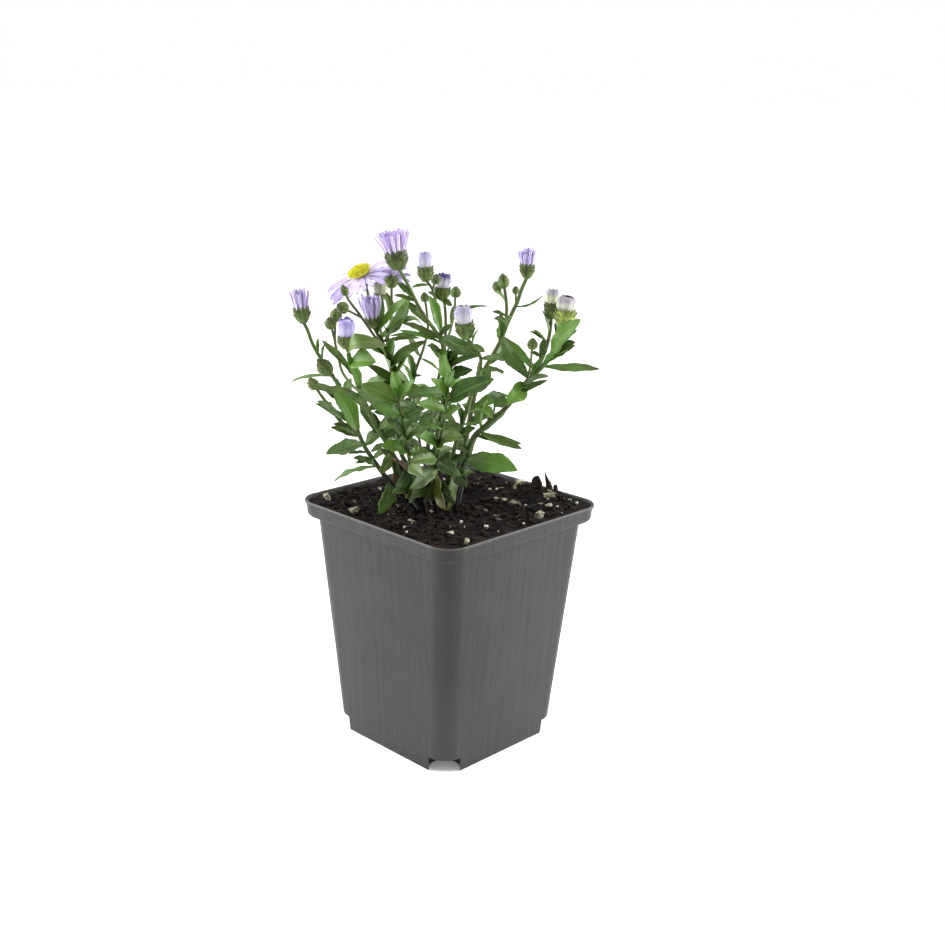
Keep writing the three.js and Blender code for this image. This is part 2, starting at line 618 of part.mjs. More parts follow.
        from: 134.1, thick: [0.6, 0.5], bud: [2, 4.2],
        route: [[-17.8, 138, -44], [-19.6, 142, -46.3]],
      },
    ],
  },
];

// the sighted point of a route at a height, as sighted
function routeAt(route, up) {
  const above = Math.max(1, route.findIndex(point => point[1] >= up));
  const [low, high] = [route[above - 1], route[above]];
  const share = (up - low[1]) / (high[1] - low[1]);
  return low.map((value, k) => value + (high[k] - value) * share);
}

// how much of a leaf's full width it has at a share of its length
function leafOutline(share) {
  return 0.04 + 0.12 * (1 - share) + 2.7 * share ** 0.9 * (1 - share) ** 0.75;
}

// the rows that a leaf is built on, by how wide it is, and the width from which it is folded
const LEAF_ROWS = [[2.7, [0, 0.5, 1]], [6.7, [0, 0.3, 0.68, 1]], [10, [0, 0.2, 0.45, 0.75, 1]]];
const FOLDED_WIDTH = 6.7;

// a narrow pointed leaf, folded a little along its midrib and arched between its root and its tip
function leaf(root, tip, width, turn, arch = LEAF_ARCH) {
  const line = tip.clone().sub(root);
  const length = line.length();
  const side = new THREE.Vector3().crossVectors(line, UP).normalize();
  if (side.dot(TOWARD_EYE) > 0) side.negate();
  const face = new THREE.Vector3().crossVectors(side, line).normalize();
  if (face.z < 0) face.negate();
  const roll = THREE.MathUtils.degToRad(turn);
  const normal = face.clone().multiplyScalar(Math.cos(roll)).addScaledVector(side, -Math.sin(roll));
  const across = new THREE.Vector3().crossVectors(line, normal).normalize();
  const shares = LEAF_ROWS.find(([widest]) => width < widest)[1];
  const columns = width < FOLDED_WIDTH ? [-1, 1] : [-1, 0, 1];
  return blade(shares.map(share => {
    const middle = root.clone()
      .addScaledVector(line, share)
      .addScaledVector(normal, arch * length * 4 * share * (1 - share));
    const half = (width / 2) * leafOutline(share);
    return columns.map(column => middle.clone()
      .addScaledVector(across, column * half)
      .addScaledVector(normal, Math.abs(column) * half * LEAF_FOLD));
  }));
}

// a green bud: five bracts that close to a point
function bud(base, axis, [radius, length]) {
  return turned(base, axis, [
    [-0.3, radius * 0.4], [length * 0.25, radius * 0.95],
    [length * 0.65, radius * 0.85], [length, radius * 0.25],
  ], BUD_SIDES);
}

// the green cup of bracts under a flower head, with its bract tips standing up around a shallow mouth
function cup(base, axis, [radius, height], tipLift) {
  return turned(base, axis, [
    [-0.4, radius * 0.36], [height * 0.4, radius * 0.94],
    [height, radius * 0.97, tipLift], [height - GAP, radius * 0.74],
  ], HEAD_SIDES, VALLEY);
}

// a ray: a strip that starts inside its head and runs out along the way it leans
function ray(root, out, axis, length, width, lean, shares) {
  const across = new THREE.Vector3().crossVectors(axis, out);
  return blade(shares.map(([share, wide]) => {
    const angle = lean * (0.7 + 0.3 * share);
    const middle = root.clone()
      .addScaledVector(axis, length * share * Math.cos(angle))
      .addScaledVector(out, length * share * Math.sin(angle));
    return [-0.5, 0.5].map(side => middle.clone().addScaledVector(across, side * width * wide));
  }));
}

const BRUSH_RAY = [[0, 0.3], [0.55, 1], [1, 0.5]];
const FLOWER_RAY = [[0, 0.25], [0.6, 1], [1, 0.45]];

function outward(axis, angle) {
  const [first, second] = squareTo(axis);
  return first.multiplyScalar(Math.cos(angle)).addScaledVector(second, Math.sin(angle));
}

// the lavender rays of a half-open head: the outer ones round an inner tuft that is still folded
function brush(mouth, axis, head) {
  const radius = head.cup[0];
  const count = head.rays ?? BRUSH_RAYS;
  const core = turned(mouth, axis, [
    [0, radius * 0.55], [1.4, radius * 0.7], [head.length * 0.5, radius * 0.9, head.length * 0.34],
  ], 8, 0.6);
  const rays = Array.from({ length: count }, (_, k) => {
    const out = outward(axis, (2 * Math.PI * (k + 0.2 * draw(k + count))) / count);
    const root = mouth.clone().addScaledVector(axis, 0.6).addScaledVector(out, radius * 0.6);
    const length = head.length * (0.86 + 0.2 * draw(k + 31));
    const lean = head.spread * (0.6 + 0.7 * draw(k + 57));
    return ray(root, out, axis, length, BRUSH_RAY_WIDTH, lean, BRUSH_RAY);
  });
  return [core, ...rays];
}

// the pale closed head: rays still folded over each other into a knob
function closedHead(mouth, axis, head) {
  const radius = head.cup[0] * 0.9;
  const { length } = head;
  const knob = turned(mouth, axis, [
    [0, radius * 0.66], [length * 0.35, radius],
    [length * 0.75, radius * 0.82], [length, radius * 0.34],
  ], HEAD_SIDES, VALLEY);
  return [knob];
}

// how far over the cup's mouth the plate of a ray ring starts and ends, and where the disc starts
const RING_BASE = 0.3;
const RING_TOP = 1.3;
const DISC_BASE = 1.7;

// the ring of rays of an open flower, on the plate that they grow from
function rayRing(mouth, axis, head) {
  const radius = head.disc[0];
  const plate = turned(mouth, axis, [[RING_BASE, radius * 0.62], [RING_TOP, radius * 0.8]], HEAD_SIDES);
  const rays = Array.from({ length: head.rays }, (_, k) => {
    const out = outward(axis, (2 * Math.PI * (k + 0.3 * draw(k + 5))) / head.rays);
    const root = mouth.clone()
      .addScaledVector(axis, (RING_BASE + RING_TOP) / 2)
      .addScaledVector(out, radius * 0.5);
    const length = (head.reach - radius * 0.5) * (0.9 + 0.14 * draw(k + 83));
    const lean = Math.PI / 2 - head.lift + RING_RAY_TILT * (draw(k + 19) - 0.5);
    return ray(root, out, axis, length, RING_RAY_WIDTH, lean, FLOWER_RAY);
  });
  return [plate, ...rays];
}

// the domed disc of an open flower, with its florets set in a spiral
function disc(mouth, axis, [radius, height]) {
  const base = mouth.clone().addScaledVector(axis, DISC_BASE);
  const dome = turned(base, axis, [
    [0, radius * 0.78], [height * 0.35, radius * 0.96],
    [height * 0.72, radius * 0.72], [height * 0.9, radius * 0.3],
  ], HEAD_SIDES);
  const count = Math.round(radius * 3);
  const florets = Array.from({ length: count }, (_, k) => {
    const share = 0.92 * Math.sqrt((k + 0.5) / count);
    const out = outward(axis, k * GOLDEN_ANGLE);
    const way = axis.clone().addScaledVector(out, share * 1.1).normalize();
    const root = base.clone()
      .addScaledVector(axis, height * (0.72 - 0.5 * share * share))
      .addScaledVector(out, radius * 0.78 * share);
    return turned(root, way, [[-0.3, 0.6], [1, 0.4]], 3);
  });
  return [dome, ...florets];
}

// everything green of one shoot and its side shoots; the heads' other colours are put in bodies of their own
function grow(shoot, parentRoute, place, otherBodies) {
  const start = parentRoute ? [routeAt(parentRoute, shoot.from)] : [];
  const route = [...start, ...shoot.route];
  const foot = shoot.foot ? [SOIL_LEVEL - BURIED, SOIL_LEVEL].map(up => (
    new THREE.Vector3(shoot.foot[0], -shoot.foot[1], up))) : [];
  const points = [...foot, ...route.map(sighted)];
  const end = points.at(-1);
  const solids = [stemAlong(points, shoot.thick, STEM_SIDES)];
  for (const [up, tip, width, turn, arch] of shoot.leaves ?? []) {
    solids.push(leaf(sighted(routeAt(route, up)), sighted(tip), width, turn, arch));
  }
  if (shoot.bud) {
    solids.push(bud(end, end.clone().sub(points.at(-2)).normalize(), shoot.bud));
  }
  if (shoot.head) {
    const { head } = shoot;
    const axis = sighted(head.aim).sub(end).normalize();
    const mouth = end.clone().addScaledVector(axis, head.cup[1]);
    solids.push(cup(end, axis, head.cup, head.kind === 'flower' ? 0 : BRACT_TIP_LIFT));
    otherBodies.push({ place, head, mouth, axis });
  }
  (shoot.shoots ?? []).forEach((side, k) => {
    solids.push(...grow(side, route, `${place}_${k + 1}`, otherBodies));
  });
  return solids;
}

// Soil

// how high the soil's surface stands over its level: bumps that fade out around the crown
function soilRelief(x, y) {
  const bumps = 0.4 * Math.sin(x * 0.31 + 1) + 0.35 * Math.sin(y * 0.37 + x * 0.11)
    + 0.25 * Math.sin(x * 0.83 - y * 0.61);
  const fromCrown = Math.hypot(x - CROWN.x, y - CROWN.y);
  const share = THREE.MathUtils.smoothstep(fromCrown, CROWN_CLEARING * 0.7, CROWN_CLEARING);
  return (SOIL_BUMP * bumps + SOIL_BANK) * share;
}

// chips of bark that stand out of the soil: place, height of the top, and how each is turned
const BARK_CHIPS = [[12.6, 39, 104.6, 0.2], [18.4, 38.8, 106, 0.5], [22.6, 38.4, 102.6, 2.9]];
const BARK_CHIP_SIZE = [6, 2, 8];
const BARK_CHIP_LEAN = 0.35;

function soil(stemFeet) {
  const wall = WALL + GAP;
  const edge = roundedSquare(rimWidth(SOIL_LEVEL, wall), RIM_CORNER - wall, SOIL_LEVEL);
  const surface = Array.from({ length: SOIL_ROWS }, (_, row) => edge.map(point => {
    const share = 1 - row / SOIL_ROWS;
    const [x, y] = [point.x * share, point.y * share];
    return new THREE.Vector3(x, y, SOIL_LEVEL + soilRelief(x, y));
  }));
  const bulk = solidOf(skin([...insideRings(GAP), ...surface]))
    .subtract(cornerChannels(WALL + GAP, NOTCH_HEIGHT + WALL + GAP));
  const crumbs = Array.from({ length: CRUMBS }, (_, k) => {
    const angle = k * GOLDEN_ANGLE;
    const away = CRUMB_NEAREST + CRUMB_SPREAD * draw(k + 7);
    const [x, y] = [away * Math.cos(angle), away * Math.sin(angle)];
    const size = CRUMB_SMALLEST + CRUMB_RANGE * draw(k + 40);
    const crumb = new THREE.OctahedronGeometry(size);
    crumb.scale(1, 0.7, 0.6);
    crumb.rotateX(draw(k + 90) * 3);
    crumb.rotateZ(draw(k + 60) * 6);
    crumb.translate(x, y, SOIL_LEVEL + soilRelief(x, y) + size * 0.1);
    return solidOf(crumb);
  });
  const chips = BARK_CHIPS.map(([x, y, top, turn]) => {
    const chip = new THREE.BoxGeometry(...BARK_CHIP_SIZE);
    chip.rotateX(BARK_CHIP_LEAN);
    chip.rotateZ(turn);
    chip.translate(x, y, top - 0.45 * BARK_CHIP_SIZE[2]);
    return solidOf(chip);
  });
  const holes = stemFeet.map(({ foot, radius }) => {
    const hole = new THREE.CylinderGeometry(radius, radius, 2 * HOLE_DEPTH, HOLE_SIDES);
    hole.rotateX(Math.PI / 2);
    hole.translate(foot[0], -foot[1], SOIL_LEVEL);
    hole.rotateZ(Math.PI / 4);
    return solidOf(hole);
  });
  const heaped = joined([bulk, ...crumbs, ...chips]);
  return joined([heaped.subtract(wasm.Manifold.union(holes))]);
}

// Materials and the finished group

function finish(colour, roughness) {
  return new THREE.MeshStandardMaterial({ color: colour, roughness, metalness: 0 });
}

function mesh(name, solid, material) {
  const made = new THREE.Mesh(geometryOf(solid), material);
  made.name = name;
  return made;
}

const aster = new THREE.Group();
aster.add(mesh('pot', pot(), finish('#616162', 0.6)));

const stemFeet = SHOOTS.map(({ foot, thick }) => ({ foot, radius: thick[0] + STEM_HOLE_PLAY }));
aster.add(mesh('soil', soil(stemFeet), finish('#1f1a18', 0.95)));

const plant = new THREE.Group();
plant.rotation.z = Math.PI / 4;
aster.add(plant);

for (const shoot of SHOOTS) {
  const place = shoot.name.replace('stem_', '');
  const otherBodies = [];
  const green = joined(grow(shoot, null, place, otherBodies).map(solidOf));
  plant.add(mesh(shoot.name, green, finish('#4d7433', 0.65)));
  for (const { place: at, head, mouth, axis } of otherBodies) {
    if (head.kind === 'closed') {
      const solids = closedHead(mouth, axis, head).map(solidOf);
      plant.add(mesh(`closed_head_${at}`, joined(solids), finish('#d9d8cc', 0.7)));
    }
    if (head.kind === 'brush') {
      const solids = brush(mouth, axis, head).map(solidOf);
      plant.add(mesh(`ray_brush_${at}`, joined(solids), finish('#c3b4e6', 0.7)));
    }
    if (head.kind === 'flower') {
      const rays = rayRing(mouth, axis, head).map(solidOf);
      plant.add(mesh(`ray_ring_${at}`, joined(rays), finish('#c3b4e6', 0.7)));
      const florets = disc(mouth, axis, head.disc).map(solidOf);
      plant.add(mesh(`disc_${at}`, joined(florets), finish('#cfc93a', 0.75)));
    }
  }
}

export default aster;
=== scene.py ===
import math

import bmesh
import bpy
from mathutils import Matrix, Vector, noise


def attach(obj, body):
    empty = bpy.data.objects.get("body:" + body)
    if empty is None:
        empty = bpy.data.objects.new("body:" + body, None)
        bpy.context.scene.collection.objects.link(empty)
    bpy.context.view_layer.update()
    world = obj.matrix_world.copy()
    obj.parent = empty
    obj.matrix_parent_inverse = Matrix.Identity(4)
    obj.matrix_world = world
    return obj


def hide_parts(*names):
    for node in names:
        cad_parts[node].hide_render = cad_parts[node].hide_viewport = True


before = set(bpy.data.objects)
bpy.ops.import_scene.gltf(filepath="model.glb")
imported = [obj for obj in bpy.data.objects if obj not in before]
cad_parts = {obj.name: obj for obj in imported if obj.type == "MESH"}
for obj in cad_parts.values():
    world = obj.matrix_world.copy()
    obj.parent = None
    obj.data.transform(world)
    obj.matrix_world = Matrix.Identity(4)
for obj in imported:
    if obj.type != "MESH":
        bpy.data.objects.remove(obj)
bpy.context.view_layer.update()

MM = 0.001

# The pot
# A square nursery pot, 9 cm across its rim, moulded in thin grey plastic. Its walls taper to the foot, a
# turned-out band stiffens the mouth, and a channel across each bottom corner lets the water run away.
FOOT_WIDTH = 65.3 * MM
BODY_CORNER = 8.6 * MM
POT_WALL = 1.2 * MM
CHANNEL_RADIUS = 6.3 * MM
CHANNEL_HEIGHT = 6 * MM
CHANNEL_PLACE = 37.3 * MM
CHANNEL_REACH = 20 * MM
DRAIN_RADIUS = 3 * MM
DRAIN_PLACE = 15 * MM
# the turned-out band, from under the body's top edge to the lip: width and height
RIM_STEPS = [
    (80, 92.8), (81.1, 93), (84.5, 93.2), (86, 93.6), (86.8, 94.3), (87.1, 95.1), (87.4, 98.1), (87.9, 98.5),
    (88.5, 98.8), (88.6, 99.5), (88.2, 100),
]


def clear_selection():
    bpy.ops.object.select_all(action="DESELECT")


def take(piece):
    """makes a piece the only one selected"""
    clear_selection()
    piece.select_set(True)
    bpy.context.view_layer.objects.active = piece


def join(parts, into):
    """joins parts into one of them"""
    clear_selection()
    for part in parts:
        part.select_set(True)
    bpy.context.view_layer.objects.active = into
    if len(parts) > 1:
        bpy.ops.object.join()
    return into


def pick(kind, test):
    """selects the corners, edges or faces of the piece being edited that pass a test"""
    bpy.ops.mesh.select_mode(type={"verts": "VERT", "edges": "EDGE", "faces": "FACE"}[kind])
    bpy.ops.mesh.select_all(action="DESELECT")
    shape = bmesh.from_edit_mesh(bpy.context.object.data)
    for part in getattr(shape, kind):
        if test(part):
            part.select_set(True)
    bmesh.update_edit_mesh(bpy.context.object.data)


def apply_modifier(piece, kind, **settings):
    take(piece)
    modifier = piece.modifiers.new(kind.title(), kind)
    for key, value in settings.items():
        setattr(modifier, key, value)
    bpy.ops.object.modifier_apply(modifier=modifier.name)


def smooth(piece, degrees):
    take(piece)
    bpy.ops.object.shade_smooth_by_angle(angle=math.radians(degrees))


def cut(piece, cutter):
    """cuts one shape out of another, and puts the cutter away"""
    apply_modifier(piece, "BOOLEAN", operation="DIFFERENCE", solver="EXACT", object=cutter)
    bpy.data.objects.remove(cutter)


def swung(degrees, distance):
    """a matrix that moves a shape out from the pot's middle line, then turns it round that line"""
    return Matrix.Rotation(math.radians(degrees), 4, "Z") @ Matrix.Translation((distance, 0, 0))


def corner_cutter(grown, height):
    """four upright cutters, round at the inner end, that reach in over the pot's bottom corners"""
    clear_selection()
    parts = []
    for corner in range(4):
        bpy.ops.mesh.primitive_cylinder_add(
            vertices=32, radius=CHANNEL_RADIUS + grown, depth=2 * height, location=(0, 0, 0)
        )
        part = bpy.context.object
        bpy.ops.object.mode_set(mode="EDIT")
        pick("verts", lambda v: v.co.x > MM)
        bpy.ops.transform.translate(value=(CHANNEL_REACH, 0, 0))
        bpy.ops.object.mode_set(mode="OBJECT")
        part.data.transform(swung(45 + 90 * corner, CHANNEL_PLACE))
        parts.append(part)
    return join(parts, parts[-1])


clear_selection()
bpy.ops.mesh.primitive_cube_add(size=1, location=(0, 0, 0))
pot = bpy.context.object
pot.name = "pot_shell"
start_height = RIM_STEPS[0][1] * MM
start_width = RIM_STEPS[0][0] * MM
pot.data.transform(
    Matrix.Translation((0, 0, start_height / 2)) @ Matrix.Diagonal((FOOT_WIDTH, FOOT_WIDTH, start_height, 1))
)
bpy.ops.object.mode_set(mode="EDIT")
pick("verts", lambda v: v.co.z > MM)
bpy.ops.transform.resize(
    value=(start_width / FOOT_WIDTH, start_width / FOOT_WIDTH, 1), center_override=(0, 0, start_height)
)
pick("edges", lambda e: abs(e.verts[0].co.z - e.verts[1].co.z) > MM)
bpy.ops.mesh.bevel(offset=BODY_CORNER, segments=12, affect="EDGES")
bpy.ops.object.mode_set(mode="OBJECT")
cut(pot, corner_cutter(0, CHANNEL_HEIGHT))
bpy.ops.object.mode_set(mode="EDIT")
pick("faces", lambda f: all(v.co.z > start_height - 0.01 * MM for v in f.verts))
bpy.ops.mesh.delete(type="FACE")
pick("edges", lambda e: e.is_boundary)
for (width, height), (width_before, height_before) in zip(RIM_STEPS[1:], RIM_STEPS):
    wider = width / width_before
    bpy.ops.mesh.extrude_region_move(TRANSFORM_OT_translate={"value": (0, 0, (height - height_before) * MM)})
    bpy.ops.transform.resize(value=(wider, wider, 1), center_override=(0, 0, height * MM))
bpy.ops.object.mode_set(mode="OBJECT")
apply_modifier(pot, "SOLIDIFY", thickness=POT_WALL, offset=-1, use_even_offset=True)
apply_modifier(
    pot, "BEVEL", width=0.3 * MM, segments=2, limit_method="ANGLE", angle_limit=math.radians(50),
    harden_normals=False,
)
for side in range(4):
    clear_selection()
    bpy.ops.mesh.primitive_cylinder_add(vertices=24, radius=DRAIN_RADIUS, depth=5 * MM, location=(0, 0, 0))
    drain = bpy.context.object
    drain.data.transform(swung(90 * side, DRAIN_PLACE))
    cut(pot, drain)
smooth(pot, 35)


def shade(code):
    """a colour written as in a paint chart, as the share of light that it sends back"""
    parts = [int(code[k : k + 2], 16) / 255 for k in (1, 3, 5)]
    return (*[part / 12.92 if part <= 0.04045 else ((part + 0.055) / 1.055) ** 2.4 for part in parts], 1)


def new_finish(name, roughness, specular=0.5):
    finish = bpy.data.materials.new(name)
    finish.use_nodes = True
    shader = finish.node_tree.nodes["Principled BSDF"]
    shader.inputs["Roughness"].default_value = roughness
    shader.inputs["Specular IOR Level"].default_value = specular
    return finish


def add_node(finish, kind, sockets, **settings):
    """adds a shader node, with each of its sockets set to a value or joined to another node"""
    made = finish.node_tree.nodes.new("ShaderNode" + kind)
    for key, value in settings.items():
        setattr(made, key, value)
    for key, value in sockets.items():
        if isinstance(value, bpy.types.NodeSocket):
            finish.node_tree.links.new(value, made.inputs[key])
        else:
            made.inputs[key].default_value = value
    return made


def object_place(finish, stretch=(1, 1, 1)):
    place = add_node(finish, "TexCoord", {}).outputs["Object"]
    return add_node(finish, "Mapping", {"Vector": place, "Scale": stretch}).outputs["Vector"]


def height_up(finish):
    return add_node(finish, "SeparateXYZ", {"Vector": object_place(finish)}).outputs["Z"]


def mottle(finish, scale, stretch=(1, 1, 1), detail=4, roughness=0.55):
    place = object_place(finish, stretch)
    return add_node(
        finish, "TexNoise", {"Vector": place, "Scale": scale, "Detail": detail, "Roughness": roughness}
    ).outputs["Fac"]


def spread(finish, value, low, high, to_low=0.0, to_high=1.0):
    """spreads the part of a value between low and high over another range"""
    return add_node(
        finish, "MapRange", {"Value": value, 1: low, 2: high, 3: to_low, 4: to_high}
    ).outputs["Result"]


def cloud(finish, scale, low, high, to_low=0.0, to_high=1.0, **look):
    """a mottle, with its part between low and high spread over another range"""
    return spread(finish, mottle(finish, scale, **look), low, high, to_low, to_high)


def sum_up(finish, how, first, second=0):
    return add_node(finish, "Math", {0: first, 1: second}, operation=how).outputs["Value"]


def times(finish, first, second):
    return sum_up(finish, "MULTIPLY", first, second)


def blend(finish, share, first, second):
    return add_node(finish, "Mix", {0: share, 6: first, 7: second}, data_type="RGBA").outputs[2]


def colour_with(finish, colour, *tints):
    """colours a finish, and lays tints over its first colour one after another, each by its share"""
    for share, code in tints:
        colour = blend(finish, share, colour, shade(code))
    shader = finish.node_tree.nodes["Principled BSDF"]
    finish.node_tree.links.new(colour, shader.inputs["Base Color"])


def roughen(finish, value):
    shader = finish.node_tree.nodes["Principled BSDF"]
    finish.node_tree.links.new(value, shader.inputs["Roughness"])


def emboss(finish, height, depth):
    """raises the surface a little where the height is large"""
    raised = add_node(finish, "Bump", {"Height": height, "Distance": depth, "Strength": 1})
    shader = finish.node_tree.nodes["Principled BSDF"]
    finish.node_tree.links.new(raised.outputs["Normal"], shader.inputs["Normal"])


plastic = new_finish("grey_pot_plastic", 0.6, 0.1)
streaks = mottle(plastic, 1, (330, 330, 9), 3)
pot_up = height_up(plastic)
near_rim = spread(plastic, pot_up, 78 * MM, 99 * MM)
dust = cloud(plastic, 420, 0.5, 0.72, 0.12, 0.6, detail=6, roughness=0.7)
colour_with(
    plastic, shade("#2d2e2f"),
    (cloud(plastic, 30, 0.3, 0.7), "#343536"),
    (spread(plastic, streaks, 0.35, 0.75, 0, 0.45), "#3a3b3c"),
    # painted light and shade: the wall is lightened towards its foot and darkened towards its top
    (spread(plastic, pot_up, 45 * MM, 5 * MM, 0, 0.25), "#3c3d3d"),
    (spread(plastic, pot_up, 45 * MM, 84 * MM, 0, 0.35), "#262727"),
    (times(plastic, near_rim, dust), "#423d38"),
    (spread(plastic, pot_up, 98.9 * MM, 99.8 * MM, 0, 0.5), "#5d5b57"),
    (cloud(plastic, 900, 0.7, 0.74, 0, 0.6, detail=2), "#1c1b1a"),
)
roughen(plastic, spread(plastic, streaks, 0.3, 0.8, 0.42, 0.6))
plastic_grain = sum_up(plastic, "ADD", mottle(plastic, 1600, detail=3), times(plastic, streaks, 2.5))
emboss(plastic, plastic_grain, 0.12 * MM)
pot.data.materials.append(plastic)
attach(pot, "root")
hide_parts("pot")

# The soil
# Dark peat compost that fills the pot to a few millimetres under its lip. It lies lower around the crown
# and is heaped a little against the wall on the far right. The plant's stems are rooted in it.
SOIL_LEVEL = 96.6
SOIL_WIDTH = 85
SOIL_CORNER = 8.2
SOIL_CUTS = 110
CROWN = Vector((-1.3, -4.7))
CROWN_RADIUS = 18.2
CROWN_SLOPE = 7.8
OUTER_RISE = 1.7
HEAP_PLACE = Vector((18, 37))
HEAP_HEIGHT = 1.2
# the soil's sides under its surface, drawn in where the pot's band ends: width and height
SOIL_STEPS = [(84.7, 95.5), (76.9, 94.4), (62.7, 1.6)]


def draw(k):
    """a repeatable draw between 0 and 1 for the number k"""
    return math.sin(k * 12.9898 + 4.1) * 43758.5453 % 1


def soil_height(x, y):
    """the height of the soil's surface over a place, all in millimetres"""
    bumps = 0.4 * math.sin(x * 0.31 + 1) + 0.35 * math.sin(y * 0.37 + x * 0.11)
    bumps += 0.25 * math.sin(x * 0.83 - y * 0.61)
    share = min(1, max(0, (math.hypot(x - CROWN.x, y - CROWN.y) - CROWN_RADIUS) / CROWN_SLOPE))
    share = share * share * (3 - 2 * share)
    heap = HEAP_HEIGHT * math.exp(-((x - HEAP_PLACE.x) ** 2 / 200 + (y - HEAP_PLACE.y) ** 2 / 60))
    lumps = 0.6 * noise.noise((x * 0.32, y * 0.32, 0.4)) + 0.45 * noise.noise((x * 0.8, y * 0.8, 2.7))
    return SOIL_LEVEL + 0.35 + (0.8 * bumps + OUTER_RISE) * share + heap + lumps


def rounded(x, y, width, corner):
    """moves a point of a square to its place in the same square with rounded corners"""
    reach = max(abs(x), abs(y))
    if reach == 0:
        return x, y
    half, middle = width / 2, width / 2 - corner
    slope = min(abs(x), abs(y)) / reach
    out = half
    if half * slope > middle:
        a, b, c = 1 + slope * slope, middle * (1 + slope), 2 * middle * middle - corner * corner
        out = (b + math.sqrt(max(0, b * b - a * c))) / a
    return x * out / half, y * out / half


clear_selection()
bpy.ops.mesh.primitive_grid_add(
    x_subdivisions=SOIL_CUTS, y_subdivisions=SOIL_CUTS, size=SOIL_WIDTH * MM, location=(0, 0, 0)
)
soil = bpy.context.object
soil.name = "soil_surface"
for vertex in soil.data.vertices:
    x, y = rounded(vertex.co.x / MM, vertex.co.y / MM, SOIL_WIDTH, SOIL_CORNER)
    vertex.co = Vector((x, y, soil_height(x, y))) * MM
bpy.ops.object.mode_set(mode="EDIT")
pick("edges", lambda e: e.is_boundary)
width_before = SOIL_WIDTH
for width, height in SOIL_STEPS:
    narrower = width / width_before
    bpy.ops.mesh.extrude_region_move()
    bpy.ops.transform.resize(value=(narrower, narrower, 0), center_override=(0, 0, height * MM))
    width_before = width
bpy.ops.mesh.edge_face_add()
bpy.ops.mesh.select_all(action="SELECT")
bpy.ops.mesh.normals_make_consistent(inside=False)
bpy.ops.object.mode_set(mode="OBJECT")
cut(soil, corner_cutter(1.5 * MM, 7.5 * MM))
smooth(soil, 80)

peat = new_finish("dark_peat", 0.9, 0.12)
peat_lumps = mottle(peat, 260, detail=8, roughness=0.7)
colour_with(
    peat, shade("#040404"),
    (spread(peat, peat_lumps, 0.35, 0.7), "#15100e"),
    (cloud(peat, 90, 0.46, 0.66, 0, 0.75, detail=3), "#221417"),
    (cloud(peat, 1, 0.66, 0.74, 0, 0.5, stretch=(900, 260, 600), detail=2), "#33241a"),
)
roughen(peat, spread(peat, peat_lumps, 0.3, 0.7, 0.95, 0.6))
emboss(peat, peat_lumps, 1.2 * MM)
soil.data.materials.append(peat)
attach(soil, "root")
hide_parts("soil")

# The crumbs and bits in the soil
# Crumbs of peat, chips of bark and fibre, a few bits of pale wood and grains of perlite. Each is a loose
# lump pressed halfway into the surface; the largest lie where they can be seen along the pot's right side.
CRUMB_COUNT = 2300
CHIP_COUNT = 150
FIBRE_COUNT = 120
SMALL_STRAW_COUNT = 36
SMALL_GRAIN_COUNT = 30
# bits big enough to be seen one by one: place, height over the soil, size, and how long they are
PALE_BITS = [
    (3.4, 38.4, 2.4, 4, 1.1), (4.9, 33.7, 0.4, 1.4, 1.3), (12.8, 17.9, 0.8, 3, 1.3),
    (19.7, 17.7, 0.9, 4.2, 2.2), (24.6, 33, 1.4, 3.8, 1.2), (20.2, 38.6, 1.4, 3.2, 2),
    (29.8, 27, 0.6, 2.4, 1.2), (36, 14.4, 0.9, 4.8, 1.9), (9.3, 18, 0.6, 2.2, 1.3),
    (38.2, -28.6, 0.8, 3.2, 2), (-36.6, -34, 0.8, 4.4, 2), (-16.5, -36.4, 1.4, 3.6, 1.6),
    (30.6, 39, 0.5, 1.7, 1.2), (27.5, -26.3, 0.6, 2.2, 1.2), (32.8, 28.6, 0.4, 1.2, 1.2),
    (7.4, -28.2, 0.6, 2.6, 2.6), (-30, 12, 0.6, 2.2, 1.7), (-24, 33, 0.7, 2.6, 1.4), (-36, 30, 0.6, 2, 1.3),
]
# grains of perlite: place, height over the soil and size
WHITE_GRAINS = [
    (27, 38, 1, 2.6), (34.8, 38.4, 0.7, 1.9), (37.5, 34.6, 0.7, 1.6), (37.1, 3.6, 0.7, 1.9),
    (30.9, -10.7, 0.8, 2.6), (20.9, -14.4, 0.6, 1.8), (27.7, -27.3, 0.6, 1.5), (23.4, 19.9, 0.5, 1.3),
    (15.9, -38.4, 0.5, 1.4), (7.4, -27.4, 0.4, 1.2), (-10, 27, 0.6, 1.7), (-33, -8, 0.6, 1.5),
    (-26, 22, 0.6, 1.8), (-38, 18, 0.5, 1.4),
]
# chips of bark that stand against the wall on the far right, a round knot and a pointed spike among them:
# the middle, the width, depth and height, and the lean
STANDING_CHIPS = [
    (23, 38.8, 101.3, 1.6, 1.2, 4.6, -0.25), (19.4, 38.2, 99.8, 4.2, 2.4, 3, 0.3),
    (8.2, 38.8, 99.6, 3.4, 1.8, 2.2, 0.2), (27, 36.4, 99.8, 3.6, 2, 2, -0.3),
]
BARK_KNOT = (12.1, 39.2, 100.6, 6, 3.4, 10)
BARK_SPIKE = (19, 39, 103.2, 2.1, 1.2, 9.4, -0.42)


def copy_at(master, matrix):
    """a copy of a master shape with a mesh of its own, put in place"""
    copy = master.data.copy()
    copy.transform(matrix)
    return copy


def gather(name, meshes):
    """joins copies into one piece"""
    parts = []
    for mesh in meshes:
        part = bpy.data.objects.new(name, mesh)
        bpy.context.collection.objects.link(part)
        parts.append(part)
    piece = join(parts, parts[-1])
    piece.name = name
    return piece


